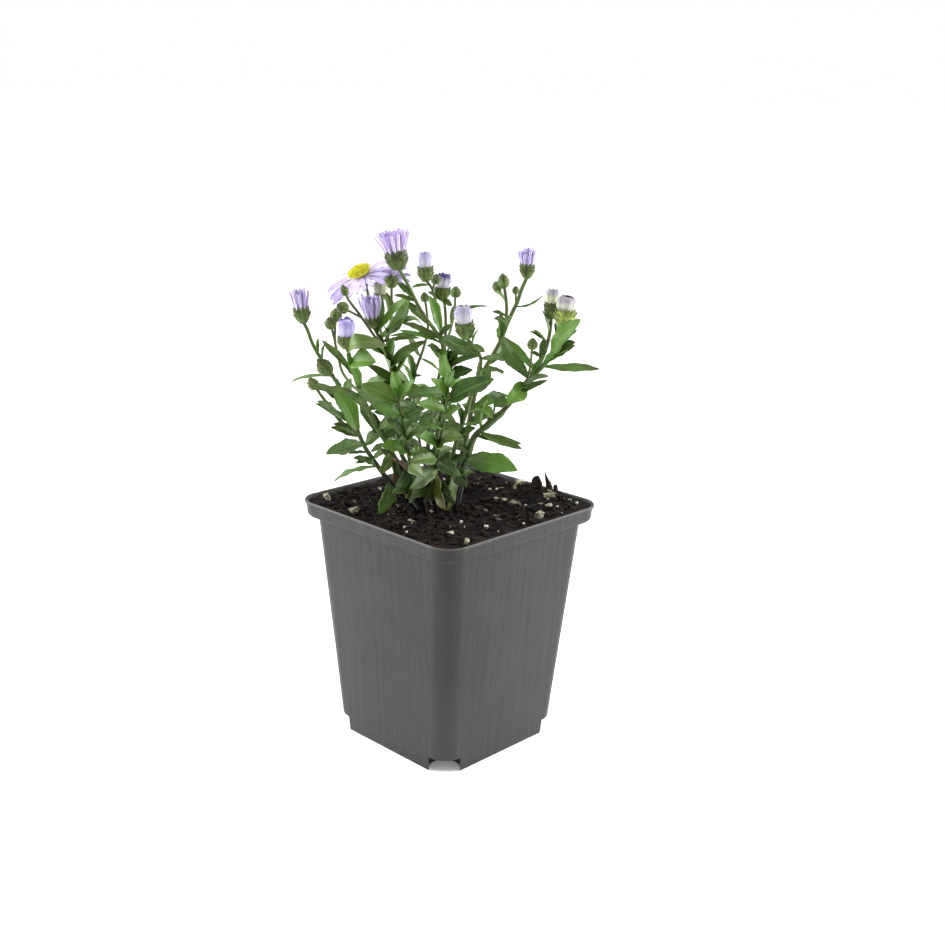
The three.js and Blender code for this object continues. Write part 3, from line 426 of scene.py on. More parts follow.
def turned(x, y, z, size, lean=0.0, turn=0.0):
    """a matrix that sizes a shape, leans and turns it, and puts it at a place in millimetres"""
    return (
        Matrix.Translation(Vector((x, y, z)) * MM)
        @ Matrix.Rotation(turn, 4, "Z")
        @ Matrix.Rotation(lean, 4, "X")
        @ Matrix.Diagonal((*(part * MM for part in size), 1))
    )


def spot_on_soil(k, margin=2.2):
    """a drawn place on the soil, clear of the pot's wall"""
    half = SOIL_WIDTH / 2 - margin
    return rounded((2 * draw(k + 0.31) - 1) * half, (2 * draw(k + 0.77) - 1) * half, 2 * half, SOIL_CORNER)


def lay_bit(master, x, y, up, size, lean=0.0, turn=0.0):
    """a copy of a bit on the soil, its middle a little over the surface"""
    return copy_at(master, turned(x, y, soil_height(x, y) + up, size, lean, turn))


def roughened(name, finish, cuts, **unevenness):
    """turns the shape just added into a rough bit, its corners moved at random"""
    bit = bpy.context.object
    bit.name = name
    bpy.ops.object.mode_set(mode="EDIT")
    bpy.ops.mesh.select_all(action="SELECT")
    if cuts:
        bpy.ops.mesh.subdivide(number_cuts=cuts)
    bpy.ops.transform.vertex_random(**unevenness)
    bpy.ops.object.mode_set(mode="OBJECT")
    bit.data.materials.append(finish)
    return bit


def rough_lump(name, seed, finish, offset, steps=1):
    clear_selection()
    bpy.ops.mesh.primitive_ico_sphere_add(subdivisions=steps, radius=0.5, location=(0, 0, 0))
    return roughened(name, finish, 0, offset=offset, uniform=0.6, seed=seed)


def rough_chip(name, seed, finish):
    clear_selection()
    bpy.ops.mesh.primitive_cube_add(size=1, location=(0, 0, 0))
    return roughened(name, finish, 1, offset=0.2, uniform=0.4, seed=seed)


crumb_finish = new_finish("peat_crumbs", 0.9, 0.12)
crumb_hue = mottle(crumb_finish, 330, detail=2)
colour_with(
    crumb_finish, shade("#080605"),
    (spread(crumb_finish, crumb_hue, 0.35, 0.6), "#1a1511"),
    (spread(crumb_finish, crumb_hue, 0.58, 0.7), "#27201a"),
    (cloud(crumb_finish, 60, 0.48, 0.66, 0, 0.65), "#23161a"),
    (cloud(crumb_finish, 75, 0.56, 0.68, 0, 0.6, detail=2), "#23231a"),
)
emboss(crumb_finish, mottle(crumb_finish, 1800), 0.4 * MM)
crumb_masters = [rough_lump(f"crumb_{k}", k, crumb_finish, 0.16) for k in range(4)]
crumbs = []
for k in range(CRUMB_COUNT):
    x, y = spot_on_soil(k * 3 + 1)
    width = 0.7 + 3 * draw(k + 900) ** 4
    size = (width, width * 0.8, width * (0.55 + 0.4 * draw(k + 3300)))
    lean, turn = 3 * draw(k + 70), 6 * draw(k + 5000)
    crumbs.append(lay_bit(crumb_masters[k % 4], x, y, 0.1 * width, size, lean, turn))
soil_crumbs = gather("soil_crumbs", crumbs)

bark = new_finish("bark_and_fibre", 0.8, 0.15)
bark_grain = mottle(bark, 1, (500, 1400, 1400), 5)
colour_with(
    bark, shade("#0b0807"),
    (spread(bark, bark_grain, 0.35, 0.68), "#2a1d16"),
    (cloud(bark, 70, 0.5, 0.65, 0, 0.8), "#110d12"),
)
emboss(bark, bark_grain, 0.5 * MM)
chip_masters = [rough_chip(f"chip_{k}", k + 20, bark) for k in range(3)]
chips = []
for k in range(CHIP_COUNT):
    x, y = spot_on_soil(k * 7 + 2, 3.4)
    length = 1.8 + 3.4 * draw(k + 21) ** 2
    size = (length, length * (0.3 + 0.3 * draw(k + 11)), 0.5 + 0.6 * draw(k + 61))
    chips.append(
        lay_bit(chip_masters[k % 3], x, y, 0.35, size, 0.9 * (draw(k + 5) - 0.5), 6.3 * draw(k + 45))
    )
for k in range(FIBRE_COUNT):
    x, y = spot_on_soil(k * 5 + 4, 5)
    size = (3 + 5 * draw(k + 8), 0.32, 0.32)
    place = turned(x, y, soil_height(x, y) + 0.6, size, 0, 6.3 * draw(k + 17))
    tilt = Matrix.Rotation(0.35 * (draw(k + 1) - 0.5), 4, "Y")
    chips.append(copy_at(chip_masters[k % 3], place @ tilt))
spike = rough_chip("bark_spike", 27, bark)
bpy.ops.object.mode_set(mode="EDIT")
pick("verts", lambda v: v.co.z > 0.25)
bpy.ops.transform.resize(value=(0.25, 0.5, 1), center_override=(-0.2, 0, 0))
bpy.ops.object.mode_set(mode="OBJECT")
for k, (x, y, z, width, depth, height, lean) in enumerate(STANDING_CHIPS + [BARK_SPIKE]):
    master = spike if k == len(STANDING_CHIPS) else chip_masters[k % 3]
    place = Matrix.Translation(Vector((x, y, z)) * MM) @ Matrix.Rotation(lean, 4, "Y")
    chips.append(copy_at(master, place @ Matrix.Diagonal((width * MM, depth * MM, height * MM, 1))))
knot = rough_lump("bark_knot", 5, bark, 0.03, 3)
chips.append(copy_at(knot, turned(*BARK_KNOT[:3], BARK_KNOT[3:])))
bark_chips = gather("bark_chips", chips)

straw = new_finish("pale_wood_bits", 0.7, 0.3)
colour_with(
    straw, shade("#76715a"),
    (cloud(straw, 160, 0.35, 0.65, detail=3), "#aeab95"),
    (cloud(straw, 420, 0.48, 0.62, 0, 0.8), "#3b3020"),
)
emboss(straw, mottle(straw, 1500, detail=3), 0.3 * MM)
straw_masters = [rough_chip(f"straw_{k}", k + 40, straw) for k in range(3)]
straws = []
for k, (x, y, up, width, long) in enumerate(PALE_BITS):
    size = (width, width / long, width * 0.6)
    lean, turn = 0.7 * (draw(k) - 0.5), 6.3 * draw(k + 4)
    straws.append(lay_bit(straw_masters[k % 3], x, y, up * 0.6, size, lean, turn))
for k in range(SMALL_STRAW_COUNT):
    x, y = spot_on_soil(k * 11 + 6, 3)
    width = 0.7 + 1.1 * draw(k + 83)
    size = (width * 1.6, width * 0.6, width * 0.5)
    straws.append(lay_bit(straw_masters[k % 3], x, y, 0.3, size, 0, 6.3 * draw(k + 9)))
pale_bits = gather("pale_wood_bits", straws)

perlite = new_finish("perlite", 0.8, 0.4)
perlite_tone = mottle(perlite, 600, detail=3)
colour_with(perlite, shade("#a19c90"), (spread(perlite, perlite_tone, 0.4, 0.65), "#c8c5bc"))
emboss(perlite, perlite_tone, 0.5 * MM)
grain_master = rough_lump("grain", 9, perlite, 0.12)
grains = []
for k, (x, y, up, width) in enumerate(WHITE_GRAINS):
    size = (width, width * 0.8, width * 0.75)
    grains.append(lay_bit(grain_master, x, y, up * 0.6, size, draw(k) * 3, draw(k + 2) * 6))
for k in range(SMALL_GRAIN_COUNT):
    x, y = spot_on_soil(k * 13 + 9, 3)
    width = 0.5 + 0.6 * draw(k + 3)
    grains.append(lay_bit(grain_master, x, y, 0.3, (width, width, width)))
perlite_grains = gather("perlite_grains", grains)

for master in crumb_masters + chip_masters + straw_masters + [grain_master, spike, knot]:
    bpy.data.objects.remove(master)
for bits in (soil_crumbs, bark_chips, pale_bits, perlite_grains):
    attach(bits, "root")

# The stems
# A young clump of soft green stems, as thick as a match at the foot, that come up out of the soil at the
# crown and branch below their flowers. They are olive green, flushed with brown; near the ground they are
# dark, partly their own colour and partly painted shade of the crown.
ROOT_DEPTH = 11
# the place of the eye that the points were read off with: across, up and towards
EYE = Vector((1.2, 263, 514.2))
# each stem: where its foot stands (across and towards the eye), how thick it is at its foot and top, and the
# points it passes (across, up and towards the eye, in millimetres). A side shoot starts at a height on its
# stem. Each leaf: its height on the stem, the point of its tip, its width, how far its face turns aside in
# degrees, how much it arches, and its look.
SHOOTS = [
  dict(
    name="stem_left", foot=[-13.1, 6.3], thick=[1.2, 0.72],
    route=[
      [-19.4, 102.5, 7.9], [-25.9, 109.4, 9.3], [-30.2, 115.3, 9.8], [-34.1, 121.2, 8.4], [-37, 127.6, 6.8],
      [-40.4, 136, 4.2], [-43.8, 144.3, 0.5], [-47.2, 150.7, -3], [-52.1, 158, -6], [-55, 163.4, -7],
      [-56.7, 168.3, -8], [-58.3, 171.5, -8],
    ],
    head=dict(kind="brush", aim=[-60.4, 184.7, -8], cup=[3, 6], length=7, spread=0.22),
    leaves=[
      [107.3, [-28.9, 93.6, 17.1], 7.4, 70, "pale"], [113.5, [-46.9, 107, 5.5], 4.2, 15],
      [116.3, [-38.1, 114.7, 17.9], 2.6, 30], [122.1, [-29.2, 128.4, -7.2], 4.6, 40],
      [123, [-50, 118.4, 20.6], 6.2, 40, "grey"], [127.8, [-46.4, 146, 9.3], 7.4, 70, "bright"],
      [131.1, [-39.5, 149.3, -2.9], 5.2, 60, "bright"], [137.9, [-39.9, 149.7, -14], 4.2, 40],
      [150.2, [-63.5, 147.7, -11.8], 2, 30], [156, [-49.2, 164.7, -3], 2.2, 40],
      [116.7, [-25.9, 119.8, 12.5], 4, 40], [119.2, [-41, 118.7, 15.6], 1.6, 30],
      [158.5, [-52.6, 165.4, -2], 1.4, 30], [126.2, [-47, 130.9, 11.6], 4.6, 40, "grey"],
      [142, [-47.3, 150.4, 4], 2.2, 50], [113.9, [-39.1, 117, 16.7], 3.8, 40, "olive"],
      [130.1, [-54.2, 139.3, 16.9], 2.8, 70, "grey"], [125.7, [-48.2, 129.7, 13.7], 3, 60, "olive"],
      [141.5, [-57.6, 147.4, 14.2], 3.2, 60], [140, [-49.7, 143.9, 6.5], 3, 60],
    ],
    shoots=[
      dict(
        at=126.1, thick=[0.9, 0.6], bud=[2.1, 4.6],
        route=[
          [-40.9, 129.5, 9.7], [-44.9, 133, 11.4], [-47.8, 137.4, 13], [-51.2, 141.8, 14.2],
          [-53.6, 145.3, 14.4],
        ],
        leaves=[[133, [-53.4, 140.2, 16.8], 4.2, 50, "grey"]],
      ),
      dict(
        at=148.2, thick=[0.6, 0.5], bud=[2.9, 8],
        route=[[-48.5, 151.6, 1]],
      ),
    ],
  ),
  dict(
    name="stem_left_front", foot=[-10.2, 8.8], thick=[1.35, 0.7],
    route=[
      [-14, 102.5, 10.9], [-18.6, 110.4, 13.2], [-22.3, 117.3, 14.7], [-25.7, 123.7, 16.2],
      [-29.2, 129.1, 16.7], [-32.1, 135, 17.2], [-35, 141.4, 18.2], [-37.2, 146.8, 18.8],
      [-39.1, 153.2, 19], [-40.5, 159.1, 19.5], [-41.5, 161.7, 19.5],
    ],
    head=dict(kind="closed", aim=[-41.9, 174.3, 20], cup=[3.1, 4.6], length=6.4),
    leaves=[
      [118.2, [-23, 106.9, 17.5], 3.8, 50, "dried"], [123.2, [-32.1, 119.7, 23.5], 2.4, 30],
      [129.1, [-18.3, 137, 22.1], 4.6, 60], [135, [-42.8, 143.8, 26.5], 4.2, 60],
      [146.6, [-26, 139.2, 25.9], 6.4, 60, "grey"], [156.2, [-30, 156.4, 28], 7.4, 60, "bright"],
      [159.8, [-25.7, 162.9, 24], 6.2, 60, 0.5, "olive"], [124.8, [-21.2, 129, 15.7], 4.4, 40],
      [138.9, [-39.5, 141.7, 18.7], 4, 40], [143.4, [-41.6, 159.4, 20], 3.6, 70, "bright"],
      [149.7, [-43.8, 156.5, 19], 2, 50, "grey"], [141.7, [-50.7, 145.1, 26.4], 3.4, 40, "olive"],
      [119.9, [-27.9, 110.5, 19.2], 4.2, 60, "olive"], [119.9, [-20.3, 109.9, 17.3], 3.2, 60, "dark"],
      [152.1, [-51.2, 164.7, 18], 2.8, 70], [124.7, [-31.6, 136.2, 13.1], 4, 70, "dark"],
      [131.2, [-36.3, 138.5, 10.9], 3, 60], [113.2, [-28.3, 121.4, 16.3], 3.4, 60, "olive"],
      [125.5, [-35.9, 136.1, 13.1], 2, 70, "dark"],
    ],
    shoots=[
      dict(
        at=143.9, thick=[0.65, 0.5], bud=[2.3, 4.8],
        route=[
          [-39.9, 147.3, 13.2], [-43.3, 152.2, 8], [-44.7, 157.6, 5], [-46, 163.5, 3], [-46.1, 168.4, 2.5],
          [-45.8, 172.3, 2],
        ],
        shoots=[
          dict(
            at=164, thick=[0.55, 0.5], bud=[2.1, 4.6],
            route=[[-47.4, 169.6, 6]],
          ),
        ],
      ),
    ],
  ),
  dict(
    name="stem_left_tall", foot=[-7.6, 1], thick=[1.25, 0.65],
    route=[
      [-10.9, 103.5, -0.2], [-15.4, 111.4, -1.8], [-19.4, 118.3, -3.4], [-21.1, 125.2, -5],
      [-21.3, 133.1, -6.1], [-21.7, 141, -7.3], [-23.2, 148.8, -7.9], [-25.1, 157.2, -8],
      [-27.6, 164.5, -7], [-30, 168.4, -5], [-31, 170.2, -4],
    ],
    head=dict(kind="brush", aim=[-33.5, 185.1, -1], cup=[2.7, 4.6], length=8.6, spread=0.42),
    leaves=[
      [125.2, [-13.9, 135.1, -12.8], 1.8, 30], [129.1, [-11.5, 126.2, -12.1], 5, 40],
      [135.1, [-32, 143.9, -13.5], 5, 40], [139, [-12, 137.1, 4.1], 5.6, 50],
      [143.9, [-33.1, 137, 2.1], 5, 60], [146.9, [-11.8, 144.3, -0.5], 5.8, 60],
      [149.3, [-34, 147.1, -14.8], 4.6, 50], [153.3, [-10.1, 165.2, -1], 4.8, 60, 0.14, "olive"],
      [164.4, [-12.9, 166.3, -9], 2, 40], [158.4, [-33.9, 162.7, 1], 3.4, 60],
      [164, [-10.9, 169.2, -15], 2.6, 40, 0.6, "olive"], [166, [-17.1, 183.2, 2], 6.6, 70, -0.15, "bright"],
      [133.1, [-30.8, 136.2, -0.9], 5, 40], [128.2, [-29.1, 131.3, -2.5], 5, 40, "dark"],
      [125.7, [-14.3, 122.6, 4.2], 5, 40, "dark"], [149.3, [-30, 141.9, 4.7], 4.6, 40],
      [152.2, [-19.1, 157.5, 0], 4, 40], [150.5, [-31.3, 165.1, -2], 4.4, 30, "bright"],
      [160.5, [-26.9, 170.8, -6], 3, 50], [167.6, [-16.5, 182.8, 3], 4, 60, "bright"],
      [145.3, [-16.1, 161.1, 2], 6.2, 60, "bright"], [154.9, [-23.2, 166.5, -3], 4, 12],
      [147.3, [-33.2, 154.8, 2], 5, 60], [150.1, [-25.9, 161.3, -2], 3.6, 20],
      [168.4, [-27.4, 181, -12], 3, 20], [105.7, [-24.7, 117.3, 20.7], 3.8, 60, "dried"],
    ],
    shoots=[
      dict(
        at=155.7, thick=[0.75, 0.55],
        route=[
          [-27.6, 162.6, -13], [-30.5, 170.4, -17], [-32.2, 178.2, -19], [-33.4, 184.1, -19],
          [-34, 186.6, -18.7],
        ],
        head=dict(
          kind="flower", aim=[-38.3, 195.2, -15.5], cup=[3.3, 4], rays=15, reach=13.8, lift=-0.22,
          disc=[5, 3],
        ),
        leaves=[[172.2, [-34.7, 180.8, -14], 2.4, 20, "olive"]],
      ),
      dict(
        at=161.6, thick=[0.65, 0.5], bud=[1.4, 3.8],
        route=[
          [-30.5, 166.5, -2], [-33.9, 171.4, 3], [-37, 175.8, 7], [-40.7, 180.6, 9.5], [-41.6, 182.7, 10],
        ],
        shoots=[
          dict(
            at=173.8, thick=[0.5, 0.45], bud=[2.2, 4.8],
            route=[[-41.7, 176.9, 12]],
          ),
        ],
      ),
      dict(
        at=163.5, thick=[0.6, 0.5],
        route=[[-28.5, 170.4, -12], [-29.3, 177.2, -15], [-28.8, 180.8, -16]],
        head=dict(kind="closed", aim=[-28.2, 188, -16], cup=[2.4, 2.6], length=4.4),
      ),
      dict(
        at=159.6, thick=[0.7, 0.55],
        route=[[-25.4, 166.5, -16.5], [-24.1, 174.3, -22], [-24.1, 181.2, -26.2], [-24.1, 186.1, -28.4]],
        head=dict(
          kind="flower", aim=[-24.5, 196.8, -36.4], cup=[2.6, 3.6], rays=11, reach=9, lift=0.05,
          disc=[2.6, 1.7],
        ),
        leaves=[[173.9, [-26.4, 184.1, -27], 3.2, 0, "olive"]],
      ),
    ],
  ),
  dict(
    name="stem_middle", foot=[-4.4, 4.2], thick=[1.25, 0.65],
    route=[
      [-5.6, 102.6, 5.9], [-6.6, 111.4, 5.7], [-6.4, 120.3, 5.4], [-5.2, 130.2, 5.1], [-3.6, 139.1, 4.9],
      [-2.6, 147.9, 4.7], [-2.6, 157.7, 5], [-4.6, 165.6, 6], [-7.5, 170, 7], [-10.4, 173.9, 8],
      [-13.3, 178.3, 9], [-18.8, 188.9, 9.5], [-21.4, 193.1, 10.5],
    ],
    head=dict(kind="brush", aim=[-24.3, 208, 10], cup=[4, 6.4], length=8.4, spread=0.4, rays=11),
    leaves=[
      [107.5, [-14.5, 113.4, 15], 4.6, 50], [114.4, [3.2, 119.4, 8.5], 4.4, 50],
      [136.1, [1.8, 132.7, 16.4], 3, 40], [144.5, [-17.7, 143.3, 15.5], 5, 60],
      [149.4, [8.1, 154.1, 12], 5.2, 60, "dark"], [163.3, [1.6, 145.4, 12.4], 5.6, 80, "bright"],
      [166.5, [11.2, 159.3, 14], 6, 60, 0.12, "dark"], [166.5, [-10.2, 172.7, 10], 1.8, 40],
      [119, [-15.5, 120, 10.5], 5, 40, "dark"], [128.5, [1.9, 131.9, 11.5], 5, 40, "olive"],
      [131.8, [-13.2, 133.3, 11.4], 5, 40], [137.6, [4, 142.6, 10.6], 5, 40, "dark"],
      [142.4, [-11.1, 144.7, 10.4], 5, 40], [159, [-10.1, 163.6, 8], 3, 40, "dark"],
      [182, [-22, 187.6, 9], 3.2, 50, "dark"], [180.4, [-23.1, 182.9, 8], 2, 40, "olive"],
      [164.4, [-21.1, 169.1, 6], 2, 40], [166.8, [-0.4, 172, 5], 2.6, 40, "dark"],
      [146.5, [-0.8, 163.4, 6], 5, 40, "bright"], [150.6, [2.1, 162.7, 6], 5.6, 60],
      [153, [2.5, 161.9, 6], 5, 60], [171.1, [-17.7, 180.3, -2], 3.4, 60],
      [166.5, [-24.6, 166.9, 3], 2.2, 40], [153.8, [10.4, 159.7, 8], 2.4, 60, 0.2],
      [165.7, [-20, 172.1, 2], 2.8, 40], [155.4, [0.9, 160.3, 8], 3, 60],
    ],
    shoots=[
      dict(
        at=162.6, thick=[0.65, 0.5],
        route=[[-5, 169.5, 1], [-6, 175.4, -4], [-7, 181.2, -7], [-8.7, 186.1, -9], [-10.8, 188.8, -10]],
        head=dict(kind="closed", aim=[-11.8, 202.5, -10], cup=[2.9, 5.4], length=5.2),
        leaves=[
          [187.1, [-16.2, 186.1, -6], 1.6, 30], [168.9, [-9.4, 182.9, -3], 4.2, 20, "bright"],
          [171.3, [-7.7, 180.5, -6], 2.8, 20, "olive"],
        ],
        shoots=[
          dict(
            at=185.1, thick=[0.5, 0.45], bud=[1.8, 4],
            route=[[-7.4, 188.2, -6]],
          ),
        ],
      ),
    ],
  ),
  dict(
    name="stem_middle_back", foot=[-3.5, -3.6], thick=[1.2, 0.6],
    route=[
      [-4.6, 104.5, -7.3], [-7.6, 112.4, -11.9], [-9, 120.3, -15.6], [-8.8, 128.2, -19.2],
      [-7.8, 137.1, -22.9], [-6.2, 145.9, -26.7], [-4.6, 154.8, -29.5], [-3.2, 163.6, -31],
      [-2.9, 172.4, -32], [-3.6, 180.3, -32], [-4.6, 181.6, -32],
    ],
    head=dict(kind="closed", aim=[-3.8, 193.5, -32], cup=[2.9, 5], length=5.6),
    leaves=[
      [126.2, [-21.3, 135.1, -31.8], 4.8, 40], [131.2, [2.3, 139.1, -37.1], 5, 40],
      [143, [-16.3, 146.9, -39.7], 5, 40], [149.9, [5.7, 147, -41.8], 4.6, 40],
      [157.7, [-8.5, 164.6, -38], 3, 40], [178.3, [-8, 185.6, -29], 2.6, 40],
      [180.3, [-10, 184.4, -30], 3.2, 40, "bright"], [181.4, [-0.6, 179.2, -28], 2.6, 40, "olive"],
      [141.6, [0, 144.2, -25.5], 4.6, 40], [153.3, [-12.8, 158.4, -28], 1.4, 40],
    ],
    shoots=[
      dict(
        at=163.6, thick=[0.6, 0.5], bud=[2.2, 4.2],
        route=[[-1.1, 169.5, -35], [0.3, 176.4, -37], [0.6, 182.7, -38]],
        leaves=[[176.4, [13, 179.3, -35], 2.2, 20], [171.4, [0.9, 180.4, -36], 2.4, 50, "olive"]],
      ),
    ],
  ),
  dict(
    name="stem_back_left", foot=[-9.5, -3.3], thick=[1.1, 0.5], bud=[1.7, 3.6],
    route=[
      [-12.1, 104.5, -6.7], [-15.4, 112.4, -10.9], [-16.9, 120.3, -14.6], [-16.7, 130.1, -18.4],
      [-16.6, 140, -22.2], [-15.8, 148.9, -24.9], [-13.7, 155.7, -27], [-11.4, 162.6, -28],
      [-9.9, 169.5, -29], [-10.2, 175.3, -29], [-11, 180.7, -29],
    ],
    leaves=[
      [124.2, [-29.1, 130.1, -28.4], 5.4, 40], [132.1, [-2.6, 135.1, -35.8], 5, 30],
      [138, [-30.1, 144.9, -36.6], 5.4, 40], [144.9, [-24.2, 155.7, -38], 4.2, 40],
      [150.3, [-12, 151.2, -21], 1.6, 30], [158.7, [-17.3, 167.5, -38], 2.4, 40],
      [135.3, [-23.6, 139.2, -19.1], 5, 40, "dark"], [128.3, [-9.2, 128.4, -12.2], 5, 40, "dark"],
      [147.9, [-18.5, 161, -22], 5.2, 8], [147.1, [-20.2, 156.6, -20], 4, 10],
    ],
  ),
  dict(
    name="stem_front_right", foot=[-0.8, 7.9], thick=[1.2, 0.6],
    route=[
      [-0.9, 103.6, 9.8], [-0.3, 112.5, 12.1], [1.1, 120.4, 14.4], [3.5, 129.3, 15.7], [5.5, 135.7, 16.7],
      [6.7, 140.6, 17.3], [8.4, 146.5, 18.3], [10.6, 152.9, 20], [11.1, 158.3, 21.5], [9.1, 162.7, 22.5],
      [5.3, 166.6, 23],
    ],
    head=dict(kind="closed", aim=[3.1, 180.5, 24], cup=[3.2, 6], length=6.2),
    leaves=[
      [109.5, [9.6, 112, 22.1], 4.4, 50], [114.4, [-1, 95.5, 16.1], 6.6, 80, "olive"],
      [115.3, [7, 106.9, 20.5], 4.6, 60, "dark"], [135.2, [12.5, 138.2, 25], 1.6, 20],
      [158.3, [20.7, 158.3, 29], 2.8, 40], [161.2, [2.5, 162.3, 20], 3, 40, "olive"],
      [164, [12.6, 161.3, 24], 2.6, 40, "olive"], [117, [6.2, 117.9, 16.6], 4, 40, "dark"],
      [125.3, [9.9, 130.5, 17.6], 4.6, 40], [131.2, [10.6, 131.5, 25.5], 1.6, 30],
      [153.9, [20.8, 153.4, 27], 1.8, 30], [164.1, [9.9, 170.1, 27], 1.7, 30],
      [131.1, [2.1, 141, 16.7], 3.2, 60, "dark"], [148.4, [10.4, 157.3, 12], 3.4, 60],
      [115.3, [6.8, 105.8, 21.6], 4.6, 70, "grey"],
    ],
  ),
  dict(
    name="stem_back_right", foot=[-0.5, -1.3], thick=[1.35, 0.8],
    route=[
      [0.7, 104.6, -3.9], [2.8, 113.5, -7.5], [5.6, 123.4, -11.3], [7.2, 133.2, -15.1], [8.6, 142.1, -18.4],
      [10.4, 149, -20.9], [13, 154.9, -22.5], [15.7, 159.8, -24], [18.6, 165.7, -25.5], [20.8, 172, -27],
      [22.8, 176.9, -28], [24.7, 181.3, -28.5], [26.2, 186.2, -29], [28.1, 190.9, -29],
    ],
    head=dict(kind="brush", aim=[28.3, 205.3, -29], cup=[2.8, 5.4], length=6, spread=0.3),
    leaves=[
      [114.5, [16.9, 117, -1.3], 5.4, 40], [126.3, [-1.7, 132.2, -15.5], 5, 40],
      [138.1, [22.3, 144.1, -19.5], 4.8, 40], [146, [0.8, 147.9, -21.8], 5, 40],
      [155.8, [21.3, 164.2, -37], 4, 40], [167.8, [17.8, 175.2, -20], 3, 5],
      [179.4, [34.5, 184.1, -25], 1.4, 30, -0.15], [168.2, [18.1, 176, -22], 4, 10, "olive"],
      [171, [22.4, 176.1, -26], 2.8, 50, "olive"], [160.3, [20.3, 157.9, -22], 2.8, 40, "tipped"],
      [155.7, [20.4, 152.6, -22], 1.6, 40], [119.2, [8.5, 120.5, -5.6], 3.6, 40, "olive"],
      [131.6, [14.6, 135.5, -14.8], 4.6, 40], [145.2, [15.2, 155.4, -22], 5.4, 40],
      [165.5, [19.8, 174.2, -24], 3.6, 10, "bright"],
    ],
    shoots=[
      dict(
        at=167.6, thick=[0.85, 0.7], bud=[2.3, 5.4],
        route=[[20.4, 173.4, -30], [20.7, 178.5, -33], [20.1, 183.5, -35], [19.5, 186.9, -36]],
        leaves=[
          [173.5, [15.9, 174.6, -34], 3, 30, "olive"], [181.3, [15.6, 185.4, -32], 2.2, 30],
          [175.7, [15.2, 177.4, -34], 1.7, 40],
        ],
        shoots=[
          dict(
            at=181.3, thick=[0.5, 0.45], bud=[2, 4.2],
            route=[[17.6, 185.8, -38]],
          ),
        ],
      ),
      dict(
        at=180.3, thick=[0.5, 0.45], bud=[1.3, 3.2],
        route=[[24, 184.8, -25]],
      ),
    ],
  ),
  dict(
    name="stem_right", foot=[2.1, 3.7], thick=[1.35, 0.8],
    route=[
      [2.8, 104.6, 4], [4.1, 112.5, 4.3], [6.6, 119.9, 4.5], [9.1, 126.8, 4.9], [14, 131.8, 5.5],
      [19.9, 137.2, 6], [24.8, 143.1, 6.6], [29.6, 150, 7], [34.5, 154.9, 8], [38.4, 159.9, 8.5],
      [41.3, 164.8, 9], [42.1, 167.5, 9.5], [43.4, 171.3, 9.5],
    ],
    head=dict(kind="closed", aim=[43.9, 184.7, 9.5], cup=[3.7, 7.2], length=4.8),
    leaves=[
      [116.6, [27.2, 113.1, 17], 8.8, 50, 0.12, "bright"],
      [128.8, [28.5, 122.2, 15.3], 4.8, 20, -0.05, "olive"], [130.1, [14.4, 142.4, 9.6], 4.8, 50, "bright"],
      [140.6, [14.9, 144.9, -4.6], 4, 50, "dark"], [149.2, [22.1, 140.6, 15.8], 6.6, 50, "bright"],
      [146.8, [38.2, 152.2, 18], 4, 40, "silver"], [150.9, [19.6, 167.6, -5], 6, 60, 0.2],
      [156, [58.2, 155.5, 3], 3.4, 60, 0.01, "tipped"], [159.9, [49.6, 175.1, 17], 7.4, 70, "bright"],
      [159.9, [48, 166, 15], 5.4, 60, "olive"], [145.5, [30.8, 148.8, 12.1], 3.6, 40, "bright"],
      [141.4, [16.5, 139.7, 8.8], 4.4, 40], [165.5, [39.6, 173.7, 7], 1.6, 40],
      [121.3, [0.5, 122.1, 8.3], 4.6, 40, "dark"], [156.2, [44, 164, 12], 3, 50, "bright"],
      [134.7, [10.5, 139.1, 6.9], 4.2, 50, "bright"], [150.9, [36.3, 161, 8], 1.8, 50],
      [153.7, [20.7, 167, 8], 3, 70], [156.3, [48.2, 164.9, 14], 3, 60], [161.9, [48.4, 170.8, 16], 3, 70],
      [143.1, [37.8, 150.6, 14], 3, 60, "grey"], [127.3, [28.5, 124.3, 8.1], 3, 60],
    ],
    shoots=[
      dict(
        at=153, thick=[0.85, 0.7],
        route=[[35.5, 159.8, 4], [37.2, 165.7, 2], [38, 171.6, 1], [38.1, 175.3, 0.5]],
        head=dict(kind="closed", aim=[38.5, 187, 0], cup=[2.7, 5.8], length=5),
        leaves=[
          [164.7, [31.1, 170.6, 5], 1.6, 30], [165.4, [30, 170, 4], 1.6, 40, "tipped"],
          [166.6, [34.4, 178.4, 3], 3.2, 40, "olive"], [159.4, [30.3, 161.7, 4], 1.8, 40],
          [157.8, [35.7, 167.4, 2], 3, 20],
        ],
      ),
      dict(
        at=149.5, thick=[0.55, 0.45], bud=[1.9, 4],
        route=[[30.6, 155.4, 12.5], [30.9, 159.8, 14.5], [31.1, 163, 15]],
      ),
    ],
  ),
  dict(
    name="stem_low_right", foot=[3.6, -2.8], thick=[1.05, 0.5], bud=[2.3, 4.8],
    route=[
      [4.8, 105.6, -7.2], [6.2, 112.5, -11.9], [7.8, 119.4, -17.5], [9.8, 126.1, -23], [13.5, 131.1, -27.4],
      [16.3, 135.7, -29.8], [17.3, 140.6, -31.2],
    ],
    leaves=[
      [114.5, [18.9, 117, -27.3], 5.4, 40], [122.4, [0.3, 127.3, -36.1], 5, 40],
      [128.3, [21.8, 138.7, -39.1], 3.6, 40], [134.2, [4.2, 140.1, -43.2], 4.6, 40],
    ],
  ),
  dict(
    name="stem_front", foot=[-5.2, 9.8], thick=[1.1, 0.5], bud=[1.2, 3],
    route=[
      [-6.2, 102.5, 13.9], [-6.4, 109.5, 20.3], [-5.4, 117.4, 26.7], [-4.4, 125.3, 30], [-3.1, 132.2, 32.5],
